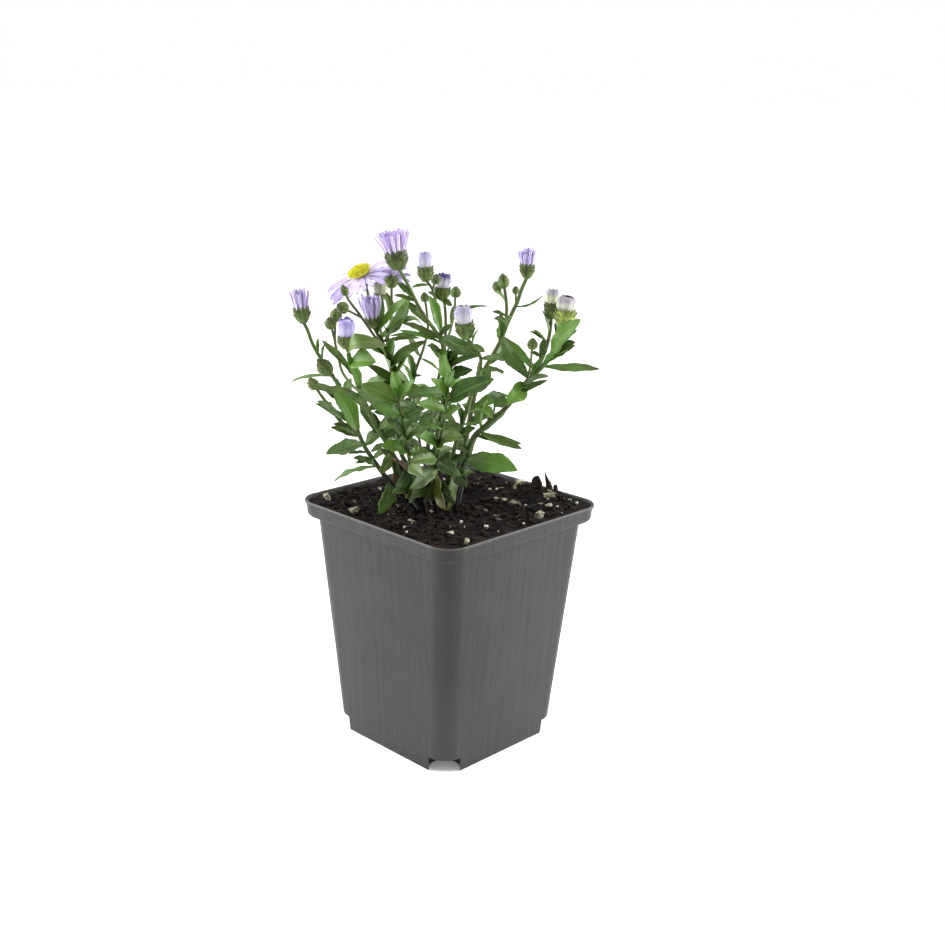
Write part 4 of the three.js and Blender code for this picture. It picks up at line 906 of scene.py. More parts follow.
      [-2.1, 138.1, 34], [-1.7, 142, 34.7],
    ],
    leaves=[
      [106.8, [-18.1, 100.6, 37.1], 5, 60, "olive"], [106.8, [0.8, 103.2, 35.8], 4.4, 60, "dark"],
      [114.4, [-16.3, 104.5, 39.7], 5.6, 60, "silver"], [116.1, [3.5, 110.4, 40.2], 4.6, 50, "dark"],
      [117.7, [-16.3, 115.8, 40.8], 5.6, 50, "olive"], [122.7, [-12.8, 126.1, 44], 6.6, 60],
      [123.5, [4.4, 127.1, 44.9], 7.4, 60], [134.2, [3.7, 138.6, 48.9], 4.2, 60],
      [137.1, [-13.9, 140, 45.8], 5, 60], [140.5, [16.6, 150.6, 38], 7.4, 60, 0.1, "dark"],
      [141.5, [-8.5, 150.4, 40], 4.6, 60], [141.8, [0.8, 153.8, 36], 4.2, 60],
      [130.2, [-12.5, 131.6, 35.5], 5, 40], [113.5, [2.2, 114.6, 32.9], 4.8, 40, "olive"],
      [114, [-1.4, 95.8, 34.1], 6.4, 75, "yellowing"], [111, [-10.5, 98.7, 34.1], 4.6, 75, "dark"],
      [109.4, [2.5, 98.5, 30.1], 4.2, 75, "dark"],
    ],
  ),
  dict(
    name="stem_front_left", foot=[-9.3, 12.6], thick=[1.1, 0.5], bud=[1.2, 3],
    route=[
      [-12.1, 102.5, 17.4], [-14.7, 109.4, 23.8], [-16.4, 116.3, 28.8], [-17.7, 123.2, 32.2],
      [-18.8, 130.1, 34.6], [-20.3, 136.5, 36.1], [-21.3, 141, 36.7],
    ],
    leaves=[
      [107.5, [-23.3, 102.9, 37.9], 5, 60], [115, [-10.5, 109.6, 44.3], 4.6, 50, "olive"],
      [120, [-27.9, 122.2, 39.3], 5.4, 50, "bright"], [124.2, [-9, 130.7, 39.6], 4.4, 50],
      [124.9, [-25.2, 131.4, 42.5], 5.6, 50, "dark"], [133.1, [-10.5, 138.1, 41], 5, 60],
      [135.1, [-31.1, 138.9, 42.9], 5.2, 60], [140.1, [-36, 147.4, 39.2], 6.4, 60],
      [140.6, [-14.4, 149.3, 42.1], 5.2, 60], [140.8, [-23.7, 152.8, 37], 4.8, 60],
      [118.7, [-9.1, 120.1, 32.4], 5, 40], [129.1, [-26, 133, 35.4], 4.6, 40],
      [136.4, [-14.1, 134.1, 35.3], 4.4, 40], [110.8, [-16.5, 98.5, 38.1], 4.6, 75, "dark"],
      [112.5, [-21.9, 105.6, 39.6], 5, 70, "dark"],
    ],
  ),
  dict(
    name="stem_low_back", foot=[-6.5, -9.9], thick=[1.05, 0.5], bud=[2.2, 4.6],
    route=[
      [-7.2, 106.5, -12.9], [-10.5, 115.4, -24.2], [-12.5, 124.3, -31.9], [-13.9, 133.1, -37.6],
      [-15.2, 142, -42.3],
    ],
    leaves=[
      [110.4, [-20.4, 113.3, -32], 5.2, 40], [116.4, [0.3, 122.3, -38.7], 5.2, 40],
      [119.3, [-26.2, 125.2, -43], 5.2, 40], [126.2, [-1.7, 132.2, -50.5], 5, 40],
      [130.2, [-27.2, 139, -53.1], 5, 40], [139, [-12.4, 147.9, -59.8], 4, 40],
      [122.2, [-19.5, 124.9, -27.9], 5, 40], [130, [-6.9, 133.4, -36.6], 5, 40],
    ],
    shoots=[
      dict(
        at=134.1, thick=[0.6, 0.5], bud=[2, 4.2],
        route=[[-17.8, 138, -44], [-19.6, 142, -46.3]],
      ),
    ],
  ),
]


def level_spot(across, toward, up=0.0):
    """the place of a point from how far it lies across and towards the eye"""
    return Vector(((across + toward) / math.sqrt(2), (across - toward) / math.sqrt(2), up))


def sighted(point):
    """a point read off across, up and towards the eye, in its true place"""
    across, up, toward = point
    share = toward / EYE.z
    return level_spot(across + share * (EYE.x - across), toward, up + share * (EYE.y - up))


def route_at(route, up):
    """the sighted point of a route at a height"""
    for low, high in zip(route, route[1:]):
        if up <= high[1] or high is route[-1]:
            share = (up - low[1]) / (high[1] - low[1])
            return [a + (b - a) * share for a, b in zip(low, high)]


def twigs_of(shoot, parent_route=None, place=""):
    """a shoot and all that branch from it, each with its true points"""
    start = [route_at(parent_route, shoot["at"])] if parent_route else []
    route = start + shoot["route"]
    points = [sighted(point) for point in route]
    if "foot" in shoot:
        foot = level_spot(*shoot["foot"])
        points = [foot + Vector((0, 0, SOIL_LEVEL - ROOT_DEPTH)), foot + Vector((0, 0, SOIL_LEVEL))] + points
    twigs = [dict(shoot, route=route, points=points, place=place)]
    for k, side in enumerate(shoot.get("shoots", [])):
        twigs += twigs_of(side, route, f"{place}_{k + 1}")
    return twigs


def eased(points, steps=6):
    """a smooth line through all the points"""
    line = []
    ends = [points[0] * 2 - points[1]] + points + [points[-1] * 2 - points[-2]]
    for a, b, c, d in zip(ends, ends[1:], ends[2:], ends[3:]):
        for k in range(steps):
            t = k / steps
            bend = (2 * a - 5 * b + 4 * c - d) * t * t + (3 * b - a - 3 * c + d) * t ** 3
            line.append(0.5 * (2 * b + (c - a) * t + bend))
    return line + [points[-1]]


def bend_stem(name, points, thick):
    """a round stem along a line of points, thinning from its first to its last"""
    clear_selection()
    bpy.ops.curve.primitive_nurbs_path_add(location=(0, 0, 0))
    stem = bpy.context.object
    stem.name = name
    stem.data.splines.clear()
    line = eased(points)
    path = stem.data.splines.new("POLY")
    path.points.add(len(line) - 1)
    for k, (knot, place) in enumerate(zip(path.points, line)):
        knot.co = (*(place * MM), 1)
        share = k / (len(line) - 1)
        knot.radius = (thick[0] + (thick[1] - thick[0]) * share) * 0.95
    stem.data.bevel_depth = MM
    stem.data.bevel_resolution = 3
    stem.data.use_fill_caps = True
    stem.data.dimensions = "3D"
    bpy.ops.object.convert(target="MESH")
    bpy.ops.object.shade_smooth()
    return stem


def dress(piece, *finishes):
    """gives a joined piece its finishes anew"""
    piece.data.materials.clear()
    for finish in finishes:
        piece.data.materials.append(finish)


stem_green = new_finish("stem_green", 0.55, 0.2)
stem_lines = mottle(stem_green, 1, (1500, 1500, 90), 3)
stem_up = height_up(stem_green)
colour_with(
    stem_green, shade("#28331a"),
    (spread(stem_green, stem_lines, 0.35, 0.65), "#3e4d26"),
    (spread(stem_green, stem_up, 118 * MM, 150 * MM, 0, 0.6), "#4b5c28"),
    (cloud(stem_green, 60, 0.5, 0.66, 0, 0.65), "#33261f"),
    # partly painted shade of the crown, partly the stems' own dark foot: near the ground they are darkened
    # almost to black
    (spread(stem_green, stem_up, 122 * MM, 108 * MM), "#0c0809"),
)
emboss(stem_green, stem_lines, 0.12 * MM)

for shoot in SHOOTS:
    name = shoot["name"].removeprefix("stem_")
    parts = [bend_stem(f"stalk_{name}", twig["points"], twig["thick"]) for twig in twigs_of(shoot)]
    stalk = join(parts, parts[0])
    dress(stalk, stem_green)
    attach(stalk, "root")
    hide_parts(shoot["name"])

# The leaves
# Lance-shaped leaves without stalks, set singly along the stems: thin, folded a little along a pale midrib
# and duller underneath; those low round the crown are darkened to dark olive as painted shade in the clump.
# One leaf is modelled, then bent, waved and twisted into each place.
LEAF_THICKNESS = 0.28
LEAF_COLUMNS = 8
LEAF_ROWS = 22
# leaves that differ from the rest: how light, how yellow-green, how dry, how brown at the tip, how yellow
# and how grey with bloom they are. The lightness of the bright and dark ones is partly their own tone and
# partly painted light shining through the leaf and painted shade among the leaves.
LEAF_TONES = {
    "bright": (1, 0.8, 0, 0, 0.12, 0), "dark": (0.05, 0.1, 0, 0, 0, 0),
    "olive": (0.5, 0.4, 0, 0.35, 0.4, 0.1), "grey": (0.6, 0.2, 0, 0.1, 0.1, 0.4),
    "silver": (0.3, 0.25, 0, 0, 0.2, 0.25), "tipped": (0.6, 0.35, 0, 0.9, 0.2, 0.1),
    "pale": (1, 1, 0, 0, 0.4, 0.1), "yellowing": (0.5, 0.6, 0.2, 0.6, 0.9, 0),
    "dried": (0.3, 0.5, 1, 1, 0.5, 0),
}


def leaf_outline(share):
    return 0.03 + 0.12 * (1 - share) + 3.4 * share * (1 - share) ** 0.85


def shaped_strip(name, columns, rows, outline):
    """a flat blade one unit long, as wide at each row as its outline says, with an upper and an under side"""
    clear_selection()
    bpy.ops.mesh.primitive_grid_add(
        x_subdivisions=columns, y_subdivisions=rows, size=1, location=(0, 0, 0), calc_uvs=True
    )
    strip = bpy.context.object
    strip.name = name
    strip.data.transform(Matrix.Translation((0, 0.5, 0)))
    bpy.ops.object.mode_set(mode="EDIT")
    for row in range(rows + 1):
        share = row / rows
        pick("verts", lambda v: abs(v.co.y - share) < 0.01)
        bpy.ops.transform.resize(value=(outline(share), 1, 1), center_override=(0, share, 0))
    bpy.ops.object.mode_set(mode="OBJECT")
    strip.data.materials.append(None)
    strip.data.materials.append(None)
    apply_modifier(strip, "SOLIDIFY", thickness=1, offset=0, use_even_offset=False, material_offset=1)
    return strip


def ink_of(finish, name):
    """a colour that was drawn onto the shape"""
    return add_node(finish, "Attribute", {}, attribute_name=name).outputs["Color"]


def shares_of(finish, name):
    """three shares that were drawn onto the shape as one colour"""
    split = add_node(finish, "SeparateColor", {"Color": ink_of(finish, name)})
    return split.outputs["Red"], split.outputs["Green"], split.outputs["Blue"]


def write_ink(mesh, name, colour):
    """draws a colour onto a whole mesh, for its finish to read"""
    ink = mesh.attributes.new(name, "FLOAT_COLOR", "POINT")
    for spot in ink.data:
        spot.color = colour


def place_on_blade(finish):
    """where a spot lies on a blade, across it and along it, each from 0 to 1"""
    flat = add_node(finish, "UVMap", {}, uv_map="UVMap").outputs["UV"]
    place = add_node(finish, "SeparateXYZ", {"Vector": flat})
    return place.outputs["X"], place.outputs["Y"]


def off_midline(finish, across):
    return sum_up(finish, "ABSOLUTE", sum_up(finish, "SUBTRACT", across, 0.5))


def leaf_finish(name, deep, mid, light, veins):
    """a green finish whose depth is drawn for each leaf"""
    finish = new_finish(name, 0.45, 0.25)
    light_share, hue_share, dry_share = shares_of(finish, "leaf_tone")
    tip_share, yellow_share, bloom_share = shares_of(finish, "leaf_wear")
    across, along = place_on_blade(finish)
    beside = off_midline(finish, across)
    slant = sum_up(finish, "SUBTRACT", times(finish, along, 62), times(finish, beside, 34))
    side_veins = spread(finish, sum_up(finish, "SINE", slant), 0.86, 1, 0, 0.2)
    net = sum_up(finish, "MAXIMUM", side_veins, spread(finish, beside, 0.055, 0.02, 0, 0.5))
    tip = sum_up(finish, "ADD", along, cloud(finish, 350, 0.3, 0.7, -0.12, 0.12))
    # painted shade in the clump: leaves low round the crown's middle are darkened to dark olive, in patches
    diagonal = {0: object_place(finish), 1: (0.707, 0.707, 0)}
    off = add_node(finish, "VectorMath", diagonal, operation="DOT_PRODUCT").outputs["Value"]
    off = sum_up(finish, "ABSOLUTE", sum_up(finish, "ADD", off, 6 * MM))
    low = spread(finish, height_up(finish), 134 * MM, 110 * MM)
    crown_shade_share = times(finish, low, spread(finish, off, 23 * MM, 16 * MM))
    crown_shade_share = times(finish, crown_shade_share, cloud(finish, 200, 0.3, 0.65, 0.6, 0.95))
    colour_with(
        finish, shade(deep),
        (light_share, mid),
        (times(finish, hue_share, 0.75), light),
        (cloud(finish, 240, 0.35, 0.68, 0, 0.35, detail=5), light),
        (times(finish, yellow_share, cloud(finish, 150, 0.3, 0.65, 0.5, 1)), "#4d4a14"),
        (times(finish, bloom_share, 0.8), "#64765a"),
        (net, veins),
        (spread(finish, beside, 0.42, 0.5, 0, 0.14), veins),
        (times(finish, spread(finish, tip, 0.68, 0.92, 0, 0.85), tip_share), "#35251a"),
        (times(finish, dry_share, cloud(finish, 300, 0.3, 0.5, 0.75, 1)), "#4a2f1a"),
        (times(finish, crown_shade_share, sum_up(finish, "SUBTRACT", 1, yellow_share)), "#1c1e0a"),
    )
    grain = times(finish, mottle(finish, 900, detail=3), 0.5)
    emboss(finish, sum_up(finish, "SUBTRACT", grain, net), 0.16 * MM)
    return finish


def lay_leaf(k, root, tip, width, turn, arch, tone):
    """bends a copy of the leaf from its root to its tip, like the ones that it stands for"""
    line = tip - root
    side = line.cross(Vector((0, 0, 1))).normalized()
    if side.dot(level_spot(0, 1)) > 0:
        side = -side
    face = side.cross(line).normalized()
    if face.z < 0:
        face = -face
    normal = face * math.cos(math.radians(turn)) - side * math.sin(math.radians(turn))
    across = line.cross(normal).normalized()
    length = line.length
    twist = 0.5 * (draw(k + 40) - 0.5)
    waves, phase = 2 + 2.5 * draw(k + 80), 6.3 * draw(k + 120)
    depth = 0.07 * (0.4 + draw(k + 160))
    lopsided = 0.16 * (draw(k + 360) - 0.5)
    crease = 0.2 + 0.3 * draw(k + 400)
    copy = leaf.data.copy()
    for vertex in copy.vertices:
        x, share, z = vertex.co
        x *= 1 - 0.05 * (round(share * LEAF_ROWS) % 2) * (abs(x) > 0.42 * leaf_outline(share))
        x *= 1 + 0.13 * math.sin(9 * share + phase + (2.6 if x > 0 else 0)) + lopsided * (1 if x > 0 else -1)
        middle = root + line * share + normal * (arch * length * 4 * share * (1 - share))
        spin = twist * (share - 0.35)
        over = across * math.cos(spin) + normal * math.sin(spin)
        above = normal * math.cos(spin) - across * math.sin(spin)
        outline = max(0.05, leaf_outline(share))
        out = abs(x) * 2 / outline
        fold = crease * math.sqrt(x * x + 0.0009)
        wave = depth * outline * out * out * math.sin(waves * 6.3 * share + phase + (2.2 if x > 0 else 0))
        vertex.co = (middle + over * (x * width) + above * ((fold + wave) * width + z * LEAF_THICKNESS)) * MM
    plain = (
        draw(k + 200) * 0.9, draw(k + 240) ** 2 * 0.8, 0,
        0.5 * draw(k + 280) ** 3, 0.4 * draw(k + 320) ** 2, 0.04,
    )
    values = LEAF_TONES.get(tone, plain)
    write_ink(copy, "leaf_tone", (*values[:3], 1))
    write_ink(copy, "leaf_wear", (*values[3:], 1))
    return copy


leaf = shaped_strip("leaf", LEAF_COLUMNS, LEAF_ROWS, leaf_outline)
upper_green = leaf_finish("leaf_upper_side", "#182d0b", "#2f5116", "#547c25", "#62823b")
under_green = leaf_finish("leaf_under_side", "#243912", "#3c5a1f", "#59782c", "#6f8943")
leaf_count = 0
for shoot in SHOOTS:
    copies = []
    for twig in twigs_of(shoot):
        for up, tip, width, *rest in twig.get("leaves", []):
            tone = rest.pop() if rest and isinstance(rest[-1], str) else ""
            turn = rest[0] if rest else 30
            arch = rest[1] if len(rest) > 1 else 0.07
            root = sighted(route_at(twig["route"], up))
            copies.append(lay_leaf(leaf_count, root, sighted(tip), width, turn, arch, tone))
            leaf_count += 1
    leaves = gather(f"leaves_{shoot['name'].removeprefix('stem_')}", copies)
    dress(leaves, upper_green, under_green)
    take(leaves)
    bpy.ops.object.shade_smooth()
    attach(leaves, "root")
    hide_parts(shoot["name"])
bpy.data.objects.remove(leaf)

# The cups and buds
# Each flower head sits in a bell of narrow overlapping green bracts with brownish tips; in the buds they
# close over the top. One bract is modelled and wrapped round each cup, row over row.
FULL_TURN = 6.283
BRACT_THICKNESS = 0.2
# the sides of a cup and of a bud: height and width, as shares of its own
CUP_SHAPE = [(-0.08, 0.36), (0.06, 0.62), (0.4, 0.94), (1, 0.97), (1.3, 0.97)]
BUD_SHAPE = [(-0.06, 0.4), (0.05, 0.72), (0.25, 0.95), (0.6, 0.88), (0.85, 0.55), (1.0, 0.2), (1.1, 0.08)]
# each row of bracts: where it starts and ends on the cup, how many there are, and how far the tips stand off
CUP_ROWS = [(-0.06, 0.62, 9, 0.6), (0.1, 0.86, 10, 0.55), (0.34, 1.08, 11, 0.3)]
BUD_ROWS = [(-0.05, 0.55, 7, 0.3), (0.08, 0.82, 8, 0.2), (0.25, 1.03, 8, 0.08)]
# how dark the bracts are, or how bright where it is below 0, on the cups that differ from the rest
USUAL_DEPTH = 0.3
CUP_DEPTHS = {
    "middle": 0.75, "right": -0.75, "right_1": 0.5, "back_right": 0.4, "left_tall_3": -0.3, "middle_1": 0.1,
}


def width_at(shape, height):
    for (low, narrow), (high, wide) in zip(shape, shape[1:]):
        if height <= high:
            return narrow + (wide - narrow) * max(0, height - low) / (high - low)
    return shape[-1][1]


def square_to(axis):
    """two directions square to an axis and to each other"""
    first = axis.cross(Vector((1, 0.2, 0)) if abs(axis.z) > 0.8 else Vector((0, 0, 1))).normalized()
    return first, axis.cross(first).normalized()


def outward(sides, angle):
    """the direction at an angle round an axis, from two directions square to it"""
    return sides[0] * math.cos(angle) + sides[1] * math.sin(angle)


def stood(place, axis):
    """a matrix that stands a shape made in millimetres on a place, along an axis"""
    first, second = square_to(axis)
    facing = Matrix((first, second, axis)).transposed().to_4x4()
    return Matrix.Diagonal((MM, MM, MM, 1)) @ Matrix.Translation(place) @ facing


def turned_core(base, axis, shape, radius, height, finish):
    """a round body along an axis, from a list of heights and widths"""
    clear_selection()
    bpy.ops.mesh.primitive_circle_add(vertices=18, radius=1, fill_type="NGON", location=(0, 0, 0))
    core = bpy.context.object
    bpy.ops.object.mode_set(mode="EDIT")
    bpy.ops.mesh.select_all(action="SELECT")
    bpy.ops.transform.resize(value=(shape[0][1] * radius, shape[0][1] * radius, 1))
    bpy.ops.transform.translate(value=(0, 0, shape[0][0] * height))
    for (low, narrow), (high, wide) in zip(shape, shape[1:]):
        wider = wide / narrow
        bpy.ops.mesh.extrude_region_move(TRANSFORM_OT_translate={"value": (0, 0, (high - low) * height)})
        bpy.ops.transform.resize(value=(wider, wider, 1), center_override=(0, 0, high * height))
    bpy.ops.mesh.select_all(action="SELECT")
    bpy.ops.mesh.normals_make_consistent(inside=False)
    bpy.ops.object.mode_set(mode="OBJECT")
    core.data.transform(stood(base, axis))
    core.data.materials.append(finish)
    mesh = core.data.copy()
    bpy.data.objects.remove(core)
    return mesh


def below_lip(shape):
    """the part of a shape that its core fills"""
    return [step for step in shape if step[0] <= 1]


def wrap_strip(strip, base, axis, shape, radius, height, start, end, around, width, lift, thickness):
    """bends a copy of a strip round a turned body, from one height on it to another"""
    sides = square_to(axis)
    copy = strip.data.copy()
    for vertex in copy.vertices:
        x, share, z = vertex.co
        up = start + (end - start) * share
        body = width_at(shape, up) * radius
        angle = around + x * width / max(body, 0.35 * radius)
        reach = body + lift * share ** 3 + (z + 0.5) * thickness
        vertex.co = (base + axis * (up * height) + outward(sides, angle) * reach) * MM
    return copy


def bract_cup(seed, base, axis, radius, height, shape, rows, depth=USUAL_DEPTH):
    meshes = [turned_core(base, axis, below_lip(shape), radius * 0.97, height, bract_green)]
    for row, (start, end, count, lift) in enumerate(rows):
        for k in range(count):
            jitter = draw(seed * 31 + row * 12 + k)
            around = FULL_TURN * (k + 0.5 * row + 0.3 * jitter) / count
            meshes.append(
                wrap_strip(
                    bract, base, axis, shape, radius, height, start + 0.05 * jitter,
                    end + 0.12 * (jitter - 0.5), around, FULL_TURN * radius / count * 1.25,
                    lift * (0.4 + jitter) * radius / 2.7, BRACT_THICKNESS,
                )
            )
    for mesh in meshes:
        write_ink(mesh, "bract_tone", (max(0, depth), max(0, -depth), 0, 1))
    return meshes


bract = shaped_strip("bract", 2, 5, lambda share: 0.12 + 1.0 * (1 - share) ** 0.8 * (0.75 + share))
bract_green = new_finish("bract_green", 0.55, 0.2)
across, along = place_on_blade(bract_green)
dark_share, bright_share, _ = shares_of(bract_green, "bract_tone")
colour_with(
    bract_green, shade("#3a4c20"),
    (cloud(bract_green, 500, 0.35, 0.65), "#647a38"),
    (spread(bract_green, off_midline(bract_green, across), 0.3, 0.5, 0, 0.5), "#86965c"),
    (times(bract_green, bright_share, cloud(bract_green, 250, 0.3, 0.6, 0.6, 1)), "#94a752"),
    (times(bract_green, dark_share, cloud(bract_green, 250, 0.3, 0.6, 0.5, 1)), "#222c16"),
    (spread(bract_green, along, 0.62, 0.95, 0, 0.7), "#2e281a"),
)
emboss(bract_green, mottle(bract_green, 1800, detail=3), 0.12 * MM)

heads = []
for number, shoot in enumerate(SHOOTS):
    name = shoot["name"].removeprefix("stem_")
    cups = []
    for k, twig in enumerate(twigs_of(shoot, place=name)):
        seed, place = number * 7 + k, twig["place"]
        end, before = twig["points"][-1], twig["points"][-2]
        if "bud" in twig:
            axis = (end - before).normalized()
            cups += bract_cup(seed, end, axis, *twig["bud"], BUD_SHAPE, BUD_ROWS)
        if "head" in twig:
            axis = (sighted(twig["head"]["aim"]) - end).normalized()
            radius, height = twig["head"]["cup"]
            depth = CUP_DEPTHS.get(place, USUAL_DEPTH)
            cups += bract_cup(seed, end, axis, radius, height, CUP_SHAPE, CUP_ROWS, depth)
            mouth = end + axis * height
            heads.append(
                dict(twig["head"], place=place, mouth=mouth, axis=axis, radius=radius, seed=number * 9 + k)
            )
    cups_and_buds = gather(f"bracts_{name}", cups)
    dress(cups_and_buds, bract_green)
    smooth(cups_and_buds, 40)
    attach(cups_and_buds, "root")
    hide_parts(shoot["name"])
bpy.data.objects.remove(bract)

# The rays of the opening heads and of the open flowers
# Strap-shaped lavender petals, one for each outer floret, white at the foot. In the opening heads they stand
# up as a tuft, inrolled and unequal; in the open flowers they lie out round the disc in one ring.
RAY_STEPS = 24
RAY_THICKNESS = 0.24
TUFT_RAY_WIDTH = 1.4
FLOWER_RAY_WIDTH = 2.3
# how far the tips of a tuft close in again
USUAL_CURL = 0.35
TUFT_CURL = {"left_tall": 1.9, "left": 0.6}
# the side of a flower on which the rays hang and turn over, and the side on which they stand up
RAY_HANG = {"left_tall_1": (-0.76, -0.6, -0.25)}
RAY_RAISE = {"left_tall_1": (-0.95, -0.25, 0.1)}


def ray_outline(share):
    if share < 0.88:
        return 0.55 + 0.45 * math.sin(math.pi * min(1, 0.15 + share * 0.75))
    return 0.92 * math.cos((share - 0.88) * 10.5)


def lay_ray(k, root, out, axis, length, width, lean_at, inroll, twist=0):
    """bends a copy of the ray from its root, leaning out from the head's axis"""
    beside = axis.cross(out).normalized()
    front = Vector((0.65, -0.65, 0.38))
    copy = ray.data.copy()
    places = [Vector(root)]
    for step in range(RAY_STEPS):
        lean = lean_at((step + 0.5) / RAY_STEPS)
        places.append(places[-1] + (axis * math.cos(lean) + out * math.sin(lean)) * (length / RAY_STEPS))
    for vertex in copy.vertices:
        x, share, z = vertex.co
        at = min(RAY_STEPS - 1, int(share * RAY_STEPS))
        middle = places[at].lerp(places[at + 1], share * RAY_STEPS - at)
        lean = lean_at(share)
        inner = axis * math.sin(lean) - out * math.cos(lean)
        if twist:
            inner = inner.lerp(front, twist * share)
            onward = axis * math.cos(lean) + out * math.sin(lean)
            inner = (inner - onward * inner.dot(onward)).normalized()
            beside = inner.cross(onward)
        angle = inroll * 2 * x
        bow = width * 0.5 / inroll
        raised = (1 - math.cos(angle)) * bow + z * RAY_THICKNESS
        vertex.co = (middle + beside * (math.sin(angle) * bow) + inner * raised) * MM
    write_ink(copy, "ray_tone", (draw(k + 17), draw(k + 31), 0, 1))
    return copy


ray = shaped_strip("ray", 4, 9, ray_outline)
lavender = new_finish("lavender_ray", 0.6, 0.2)
across, along = place_on_blade(lavender)
ray_lines = sum_up(lavender, "SINE", times(lavender, across, 26))
colour_with(
    lavender, shade("#c7bae0"),
    # partly painted shade: rays drawn at random are darkened towards violet, besides their own differing tone
    (shares_of(lavender, "ray_tone")[0], "#a291c8"),
    (spread(lavender, along, 0.34, 0.02, 0, 0.9), "#cfcad0"),
    (spread(lavender, ray_lines, 0.5, 1, 0, 0.22), "#7564a8"),
    (cloud(lavender, 500, 0.5, 0.7, 0, 0.3), "#c9c0dc"),
)
emboss(lavender, ray_lines, 0.06 * MM)

for head in heads:
    if head["kind"] == "closed":
        continue
    mouth, axis, radius, seed = head["mouth"], head["axis"], head["radius"], head["seed"]
    sides = square_to(axis)
    rays = []
    if head["kind"] == "brush":
        label = "brush"
        curl = TUFT_CURL.get(head["place"], USUAL_CURL)
        count = 42 if head.get("rays") else 30
        for k in range(count):
            ring = (0.92, 0.62, 0.32)[k % 3]
            out = outward(sides, FULL_TURN * (k + 0.5 * draw(k + seed)) / count * 1.02)
            opening = head["spread"] * (0.55 + 0.75 * draw(k * 1.7 + seed)) * (0.4 + 0.75 * ring)
            length = 0.8 + head["length"] * (0.8 + 0.26 * draw(k * 2.3 + seed))
            rays.append(
                lay_ray(
                    k + seed * 10, mouth - axis * ring + out * (ring * radius), out, axis, length,
                    TUFT_RAY_WIDTH, lambda share: opening * (0.6 + 0.85 * share - curl * share ** 2), 0.8,
                )
            )
        core = [(-0.8, 0.5), (0.4, 0.72), (1.6, 0.6), (2.6, 0.3)]
    else:
        label = "ring"
        disc_radius = head["disc"][0]
        hang_way = Vector(RAY_HANG.get(head["place"], (0, 0, 0)))
        raise_way = Vector(RAY_RAISE.get(head["place"], (0, 0, 0)))
        count = int(head["rays"] * 1.4)
        for k in range(count):
            out = outward(sides, FULL_TURN * (k + 0.35 * (draw(k + seed) - 0.5)) / count)
            hang = max(0, out.dot(hang_way)) ** 2
            raised = max(0, out.dot(raise_way)) ** 4
            turned_over = max(hang, raised)
            length = (head["reach"] - 0.5 * disc_radius) * (0.88 + 0.16 * draw(k * 1.9 + seed))
            final = math.pi / 2 - head["lift"] + 0.24 * (draw(k * 3.1 + seed) - 0.5)
            final += 0.12 * hang - 0.3 * raised
            rays.append(
                lay_ray(
                    k + seed * 10, mouth + axis * (0.5 + 0.35 * (k % 2)) + out * (0.5 * disc_radius), out,
                    axis, length * (1 + 0.3 * turned_over), FLOWER_RAY_WIDTH,
                    lambda share: final - (0.14 - 0.24 * share) * math.pi / 2, 0.45,
                    min(1, 1.4 * turned_over),
                )
            )
        core = [(-0.4, 0.6), (0.3, 0.9), (1.3, 0.8)]
    rays.append(turned_core(mouth, axis, core, radius, 1, lavender))
    petals = gather(f"petals_{head['place']}", rays)
    dress(petals, lavender)
    take(petals)
    bpy.ops.object.shade_smooth()
    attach(petals, "root")
    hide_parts(f"ray_{label}_{head['place']}")

# The folded rays of the heads that have not opened
# The same petals, still rolled together into a blunt cap over the cup: white or cream at the foot, and
# lavender, violet or weathered grey-brown at the tips.
FOLDED_COUNT = 17
FOLDED_SHAPE = [(-0.1, 0.66), (0, 0.76), (0.35, 0.98), (0.7, 0.92), (0.95, 0.66), (1.15, 0.36)]
# each cap's colour at the foot and at the tips
FOLDED_TONES = {
    "left_front": ("#aaa3c6", "#887dae"), "left_tall_3": ("#94987f", "#8d9276"),
    "middle_1": ("#aaa8b6", "#8c85a8"), "middle_back": ("#b0acb8", "#41366a"),
    "front_right": ("#a1a0a4", "#85819a"), "right": ("#abaca0", "#868089"),
    "right_1": ("#b3b798", "#85808c"),
}
folded = new_finish("folded_ray", 0.65, 0.2)
across, along = place_on_blade(folded)
foot_ink, cap_ink = ink_of(folded, "foot_ink"), ink_of(folded, "cap_ink")
cap_share = sum_up(folded, "ADD", along, cloud(folded, 700, 0.3, 0.7, -0.1, 0.1))
folded_colour = blend(folded, spread(folded, cap_share, 0.45, 0.85), foot_ink, cap_ink)
fold_lines = spread(folded, off_midline(folded, across), 0.3, 0.5, 0, 0.4)
colour_with(folded, blend(folded, fold_lines, folded_colour, cap_ink))
emboss(folded, mottle(folded, 1500, detail=3), 0.12 * MM)

for head in heads:
    if head["kind"] != "closed":
        continue
    mouth, axis, radius, seed = head["mouth"], head["axis"], head["radius"] * 0.97, head["seed"]
    length = head["length"]
    caps = [turned_core(mouth, axis, below_lip(FOLDED_SHAPE), radius * 0.9, length, folded)]
    for k in range(FOLDED_COUNT):
        jitter = draw(k * 1.3 + seed)
        caps.append(
            wrap_strip(
                ray, mouth, axis, FOLDED_SHAPE, radius, length, -0.08, 0.88 + 0.27 * jitter,
                FULL_TURN * (k + 0.4 * jitter) / FOLDED_COUNT, FULL_TURN * radius / FOLDED_COUNT * 1.6,
                0.1 + 0.5 * draw(k * 2.1 + seed), 0.22 + 0.12 * (k % 2),
            )
        )
    foot_tone, cap_tone = FOLDED_TONES[head["place"]]
    for mesh in caps:
        write_ink(mesh, "foot_ink", shade(foot_tone))
        write_ink(mesh, "cap_ink", shade(cap_tone))
    cap = gather(f"folded_rays_{head['place']}", caps)
    dress(cap, folded)
    smooth(cap, 50)
    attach(cap, "root")
    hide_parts(f"closed_head_{head['place']}")

